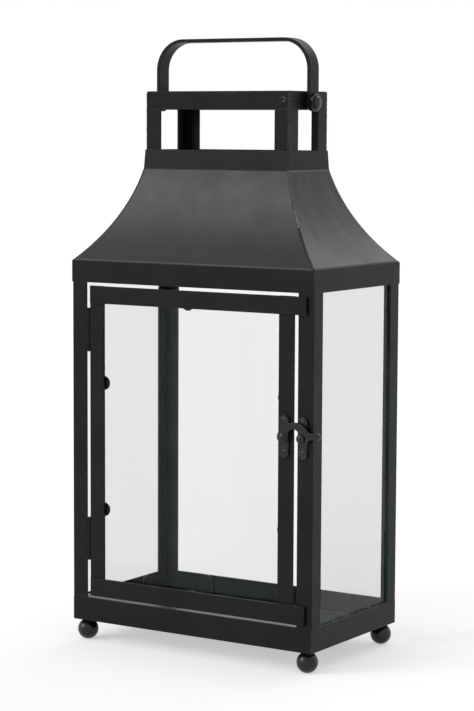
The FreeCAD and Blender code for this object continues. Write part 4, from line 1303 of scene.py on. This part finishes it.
@dataclass
class GlassClips:
    """Strips bent to hold a pane, all of one stock."""

    width: float = 10.0 * MM
    metal: float = 1.0 * MM
    bend: float = 0.9 * MM
    arris: float = 0.18 * MM
    arris_bend: float = 50.0

    def strip(self, path: list[tuple[float, float]], steps: int = 30) -> bpy.types.Mesh:
        """A clip that follows a path in its own XZ plane.

        Args:
            path: the middle line's points, from the fixed end to the round one.
            steps: points along it.

        Returns:
            The clip's mesh.
        """
        source = path_mesh("clip", [[(x, 0.0, z) for x, z in path]])
        piece = run_tree(bent_strip_tree(), "clip", source, {
            "Width": self.width, "Thickness": self.metal, "Bend": self.bend, "Steps": steps,
            "Material": HIGHLIT_CLIP_PAINT.material()})
        mesh = bmesh.new()
        mesh.from_mesh(piece.data)
        soften(mesh, self.arris, 2, self.arris_bend)
        bpy.data.objects.remove(piece)
        return as_mesh(mesh, "clip_pattern")


def solid_boxes(node: str) -> list[tuple[Vector, Vector]]:
    """Boxes of a node's separate solids.

    Args:
        node: the CAD node.

    Returns:
        Lowest and highest corner of each solid.
    """
    mesh = merged_copy(node)
    left = set(mesh.verts)
    boxes = []
    while left:
        group, edge = set(), [left.pop()]
        while edge:
            vertex = edge.pop()
            group.add(vertex)
            for link in vertex.link_edges:
                other = link.other_vert(vertex)
                if other in left:
                    left.discard(other)
                    edge.append(other)
        spots = [vertex.co for vertex in group]
        boxes.append((Vector([min(s[axis] for s in spots) for axis in range(3)]),
                      Vector([max(s[axis] for s in spots) for axis in range(3)])))
    mesh.free()
    return boxes


@dataclass
class Glazing(Assembly):
    """A lantern's panes, and the clips that hold them."""

    arris: float = 0.2 * MM
    clips: GlassClips = field(default_factory=GlassClips)
    clip_foot: float = 7.0 * MM
    clip_base: float = 5.0 * MM
    glass: float = 2.0 * MM
    near_wall: float = 12.0 * MM
    squareness: float = 0.999
    eave_clip_steps: int = 36

    def build(self) -> None:
        """Build the three fixed panes and their clips."""
        for node in ("glass_left", "glass_right", "glass_back"):
            self.pane(node)
        self.standing_clips()
        self.eave_clips()

    def pane(self, node: str) -> None:
        """Build one pane: clear faces, and ground edges that show green.

        Args:
            node: the CAD node.
        """
        mesh = merged_copy(node)
        soften(mesh, self.arris, 2)
        low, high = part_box(node)
        thin = min(range(3), key=lambda axis: (high - low)[axis])
        piece = as_object(mesh, f"cut_{node}")
        piece.data.materials.append(PANE.material())
        piece.data.materials.append(GLASS_EDGE.material())
        for face in piece.data.polygons:
            face.material_index = 0 if abs(face.normal[thin]) > self.squareness else 1
        self.put(piece, node, slot=Slot.GLASS)

    def standing_clips(self) -> None:
        """Clips that stand on the floor and lean on the glass."""
        boxes = solid_boxes("floor_glass_clips")
        half = self.clips.metal / 2
        tall = boxes[0][1].z - boxes[0][0].z
        pattern = self.clips.strip([(-self.clip_foot - 2 * half, half), (-half, half), (-half, tall)])
        self.set_clips("bent_floor_glass_clips", pattern, boxes, "floor_glass_clips")

    def eave_clips(self) -> None:
        """Clips that are welded above the glass and reach down over it."""
        boxes = solid_boxes("eave_glass_clips")
        half = self.clips.metal / 2
        tall = boxes[0][1].z - boxes[0][0].z
        top = tall - self.clip_base
        inside = -(self.glass + half)
        path = [(-half, tall), (-half, top + half), (inside, top + half), (inside, 0.0)]
        pattern = self.clips.strip(path, self.eave_clip_steps)
        self.set_clips("bent_eave_glass_clips", pattern, boxes, "eave_glass_clips")

    def set_clips(self, name: str, pattern: bpy.types.Mesh, boxes: list[tuple[Vector, Vector]],
                  node: str) -> None:
        """Set clips out where their solids stand, each turned to the wall it is nearest to.

        Args:
            name: name of the piece.
            pattern: the clip's mesh, whose +X points at the wall.
            boxes: boxes of the solids.
            node: the node they stand for.
        """
        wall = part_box("glass_right")[1].x
        spots = []
        for low, high in boxes:
            middle = (low + high) / 2
            if abs(middle.x) > wall - self.near_wall:
                sign = 1 if middle.x > 0 else -1
                spots.append(((max(abs(low.x), abs(high.x)) * sign, middle.y, low.z),
                              (0.0, 0.0, 0.0 if sign > 0 else math.pi)))
            else:
                spots.append(((middle.x, high.y, low.z), (0.0, 0.0, math.pi / 2)))
        self.put(set_out(name, pattern, spots, HIGHLIT_CLIP_PAINT), node)


@dataclass
class Door(Glazing):
    """The hinged door: two uprights, two crossbars lapped over them, glass and clips."""

    body: Body = Body.DOOR
    bar_edge: float = 0.2 * MM

    def build(self) -> None:
        """Build the door."""
        for node in ("door_stile_left", "door_stile_right", "door_bar_top", "door_bar_bottom"):
            self.form(node, self.bar_edge, SHEET_PAINT)
        self.pane("glass_door")
        self.form("door_glass_clips", self.clips.arris, HIGHLIT_CLIP_PAINT)


@dataclass
class Hinges(Assembly):
    """Two butt hinges with their pins."""

    edge: float = 0.14 * MM

    def build(self) -> None:
        """Build leaves and pins."""
        for name in ("upper", "lower"):
            self.form(f"{name}_hinge_post_leaf", self.edge, SHEET_PAINT)
            self.form(f"{name}_hinge_pin", self.edge, SHEET_PAINT)
            self.form(f"{name}_hinge_door_leaf", self.edge, SHEET_PAINT, body=Body.DOOR)


@dataclass
class Clasp(Assembly):
    """The cast swing-hook clasp on door and post."""

    hook_edge: float = 0.9 * MM
    plate_edge: float = 0.42 * MM
    rivet_edge: float = 0.12 * MM

    def build(self) -> None:
        """Build the two plates, the hook and the pins."""
        for node, edge, rings, body in (
                ("latch_hook", self.hook_edge, 4, Body.HOOK),
                ("latch_plate", self.plate_edge, 3, Body.DOOR),
                ("latch_plate_rivets", self.rivet_edge, 2, Body.DOOR),
                ("latch_pivot", self.rivet_edge, 2, Body.DOOR),
                ("keeper_plate", self.plate_edge, 3, Body.LANTERN),
                ("keeper_plate_rivets", self.rivet_edge, 2, Body.LANTERN),
                ("keeper_pin", self.rivet_edge, 2, Body.LANTERN)):
            self.form(node, edge, CAST_PAINT, rings=rings, body=body)


# ---------------------------------------------------------------- studio
@dataclass(frozen=True)
class SoftLamp:
    """A broad lamp, far off, that lights the whole floor alike."""

    name: str
    azimuth: float
    elevation: float
    spread: float
    strength: float
    stand_off: float = 2.0

    def place(self) -> None:
        """Put the lamp up."""
        turn, rise = math.radians(self.azimuth), math.radians(self.elevation)
        way = Vector((math.sin(turn) * math.cos(rise), -math.cos(turn) * math.cos(rise), math.sin(rise)))
        lamp = bpy.data.lights.new(self.name, "SUN")
        lamp.angle, lamp.energy = math.radians(self.spread), self.strength
        stand = bpy.data.objects.new(self.name, lamp)
        stand.location = way * self.stand_off
        stand.rotation_euler = (-way).to_track_quat("-Z", "Y").to_euler()
        bpy.context.scene.collection.objects.link(stand)


@dataclass
class Studio:
    """Pale floor, white surroundings, soft lamps and the camera."""

    camera_place: Spot = (0.851569, -1.327874, 0.371226)
    camera_azimuth: float = 32.62363
    camera_pitch: float = 5.92952
    camera_roll: float = 0.26050
    focal_pixels: float = 2222.378
    image_height: float = 711.0
    sensor: float = 36.0
    ambient: float = 0.45
    floor_lift: float = 0.5
    floor_half: float = 8.0
    floor_tones: tuple[int, int] = (229, 231)
    fleck_scale: float = 3.0
    floor_roughness: float = 0.9
    floor_shine: float = 0.1
    clip_range: tuple[float, float] = (0.01, 50.0)
    lamps: tuple[SoftLamp, ...] = (
        SoftLamp("lamp_front_left", azimuth=-38.0, elevation=28.0, spread=30.0, strength=1.0),
        SoftLamp("lamp_behind", azimuth=180.0, elevation=42.0, spread=40.0, strength=0.38),
    )

    def build(self) -> None:
        """Set the studio up."""
        self.surroundings()
        self.floor()
        for lamp in self.lamps:
            lamp.place()
        self.camera()
        bpy.context.scene.view_settings.view_transform = "Standard"

    def seen(self, graph: Graph) -> bpy.types.NodeSocket:
        """1 for rays that show the background, directly, in gloss or through glass.

        Args:
            graph: the graph of the tree that reads it.

        Returns:
            The socket with that number.
        """
        path = graph.add("ShaderNodeLightPath")
        direct = graph.math("MAXIMUM", path.outputs["Is Camera Ray"], path.outputs["Is Glossy Ray"])
        return graph.math("MAXIMUM", direct, path.outputs["Is Transmission Ray"])

    def surroundings(self) -> None:
        """White all round where it is seen, and a plain level where it lights."""
        world = bpy.data.worlds.new("white_room")
        graph = emptied(world)
        strength = graph.ranged(self.seen(graph), 0.0, 1.0, self.ambient, 1.0)
        room = graph.add("ShaderNodeBackground", {"Color": (1.0, 1.0, 1.0, 1.0), "Strength": strength})
        graph.add("ShaderNodeOutputWorld", {"Surface": room})
        bpy.context.scene.world = world

    def floor(self) -> None:
        """A pale floor that keeps the lantern's shadow."""
        half = self.floor_half
        mesh = bpy.data.meshes.new("studio_floor")
        corners = [(-half, -half, 0), (half, -half, 0), (half, half, 0), (-half, half, 0)]
        mesh.from_pydata(corners, [], [(0, 1, 2, 3)])
        made = bpy.data.materials.new("pale_floor")
        graph = emptied(made)
        where = graph.add("ShaderNodeTexCoord").outputs["Object"]
        fleck = graph.ranged(graph.noise(where, self.fleck_scale, 3.0), *FLECK_RANGE)
        pale = [ink((level, level, level)) for level in self.floor_tones]
        paper = graph.add("ShaderNodeBsdfPrincipled", {
            "Base Color": graph.blend(fleck, *pale), "Roughness": self.floor_roughness,
            "Specular IOR Level": self.floor_shine, "Emission Color": (1.0, 1.0, 1.0, 1.0)})
        graph.feed(paper.inputs["Emission Strength"], graph.times(self.seen(graph), self.floor_lift))
        graph.add("ShaderNodeOutputMaterial", {"Surface": paper})
        mesh.materials.append(made)
        as_object(mesh, "studio_floor")

    def camera(self) -> None:
        """The photograph's viewing angle."""
        lens = bpy.data.cameras.new("viewing_angle")
        lens.sensor_width = self.sensor
        lens.lens = self.focal_pixels * self.sensor / self.image_height
        lens.clip_start, lens.clip_end = self.clip_range
        eye = bpy.data.objects.new("viewing_angle", lens)
        level = Matrix.Rotation(math.radians(90.0 - self.camera_pitch), 4, "X")
        around = Matrix.Rotation(math.radians(self.camera_azimuth), 4, "Z")
        roll = Matrix.Rotation(math.radians(self.camera_roll), 4, "Z")
        eye.matrix_world = Matrix.Translation(self.camera_place) @ around @ level @ roll
        bpy.context.scene.collection.objects.link(eye)
        bpy.context.scene.camera = eye


def main() -> None:
    """Build the lantern's looks in order."""
    logging.basicConfig(level=logging.INFO, format="%(message)s")
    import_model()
    for assembly in (Base(), CornerFrame(), Roof(), Chimney(), CarryingHandle(), Glazing(), Door(), Hinges(),
                     Clasp(), Studio()):
        LOG.info("-- %s", type(assembly).__name__)
        assembly.build()


if __name__ == "__main__":
    main()
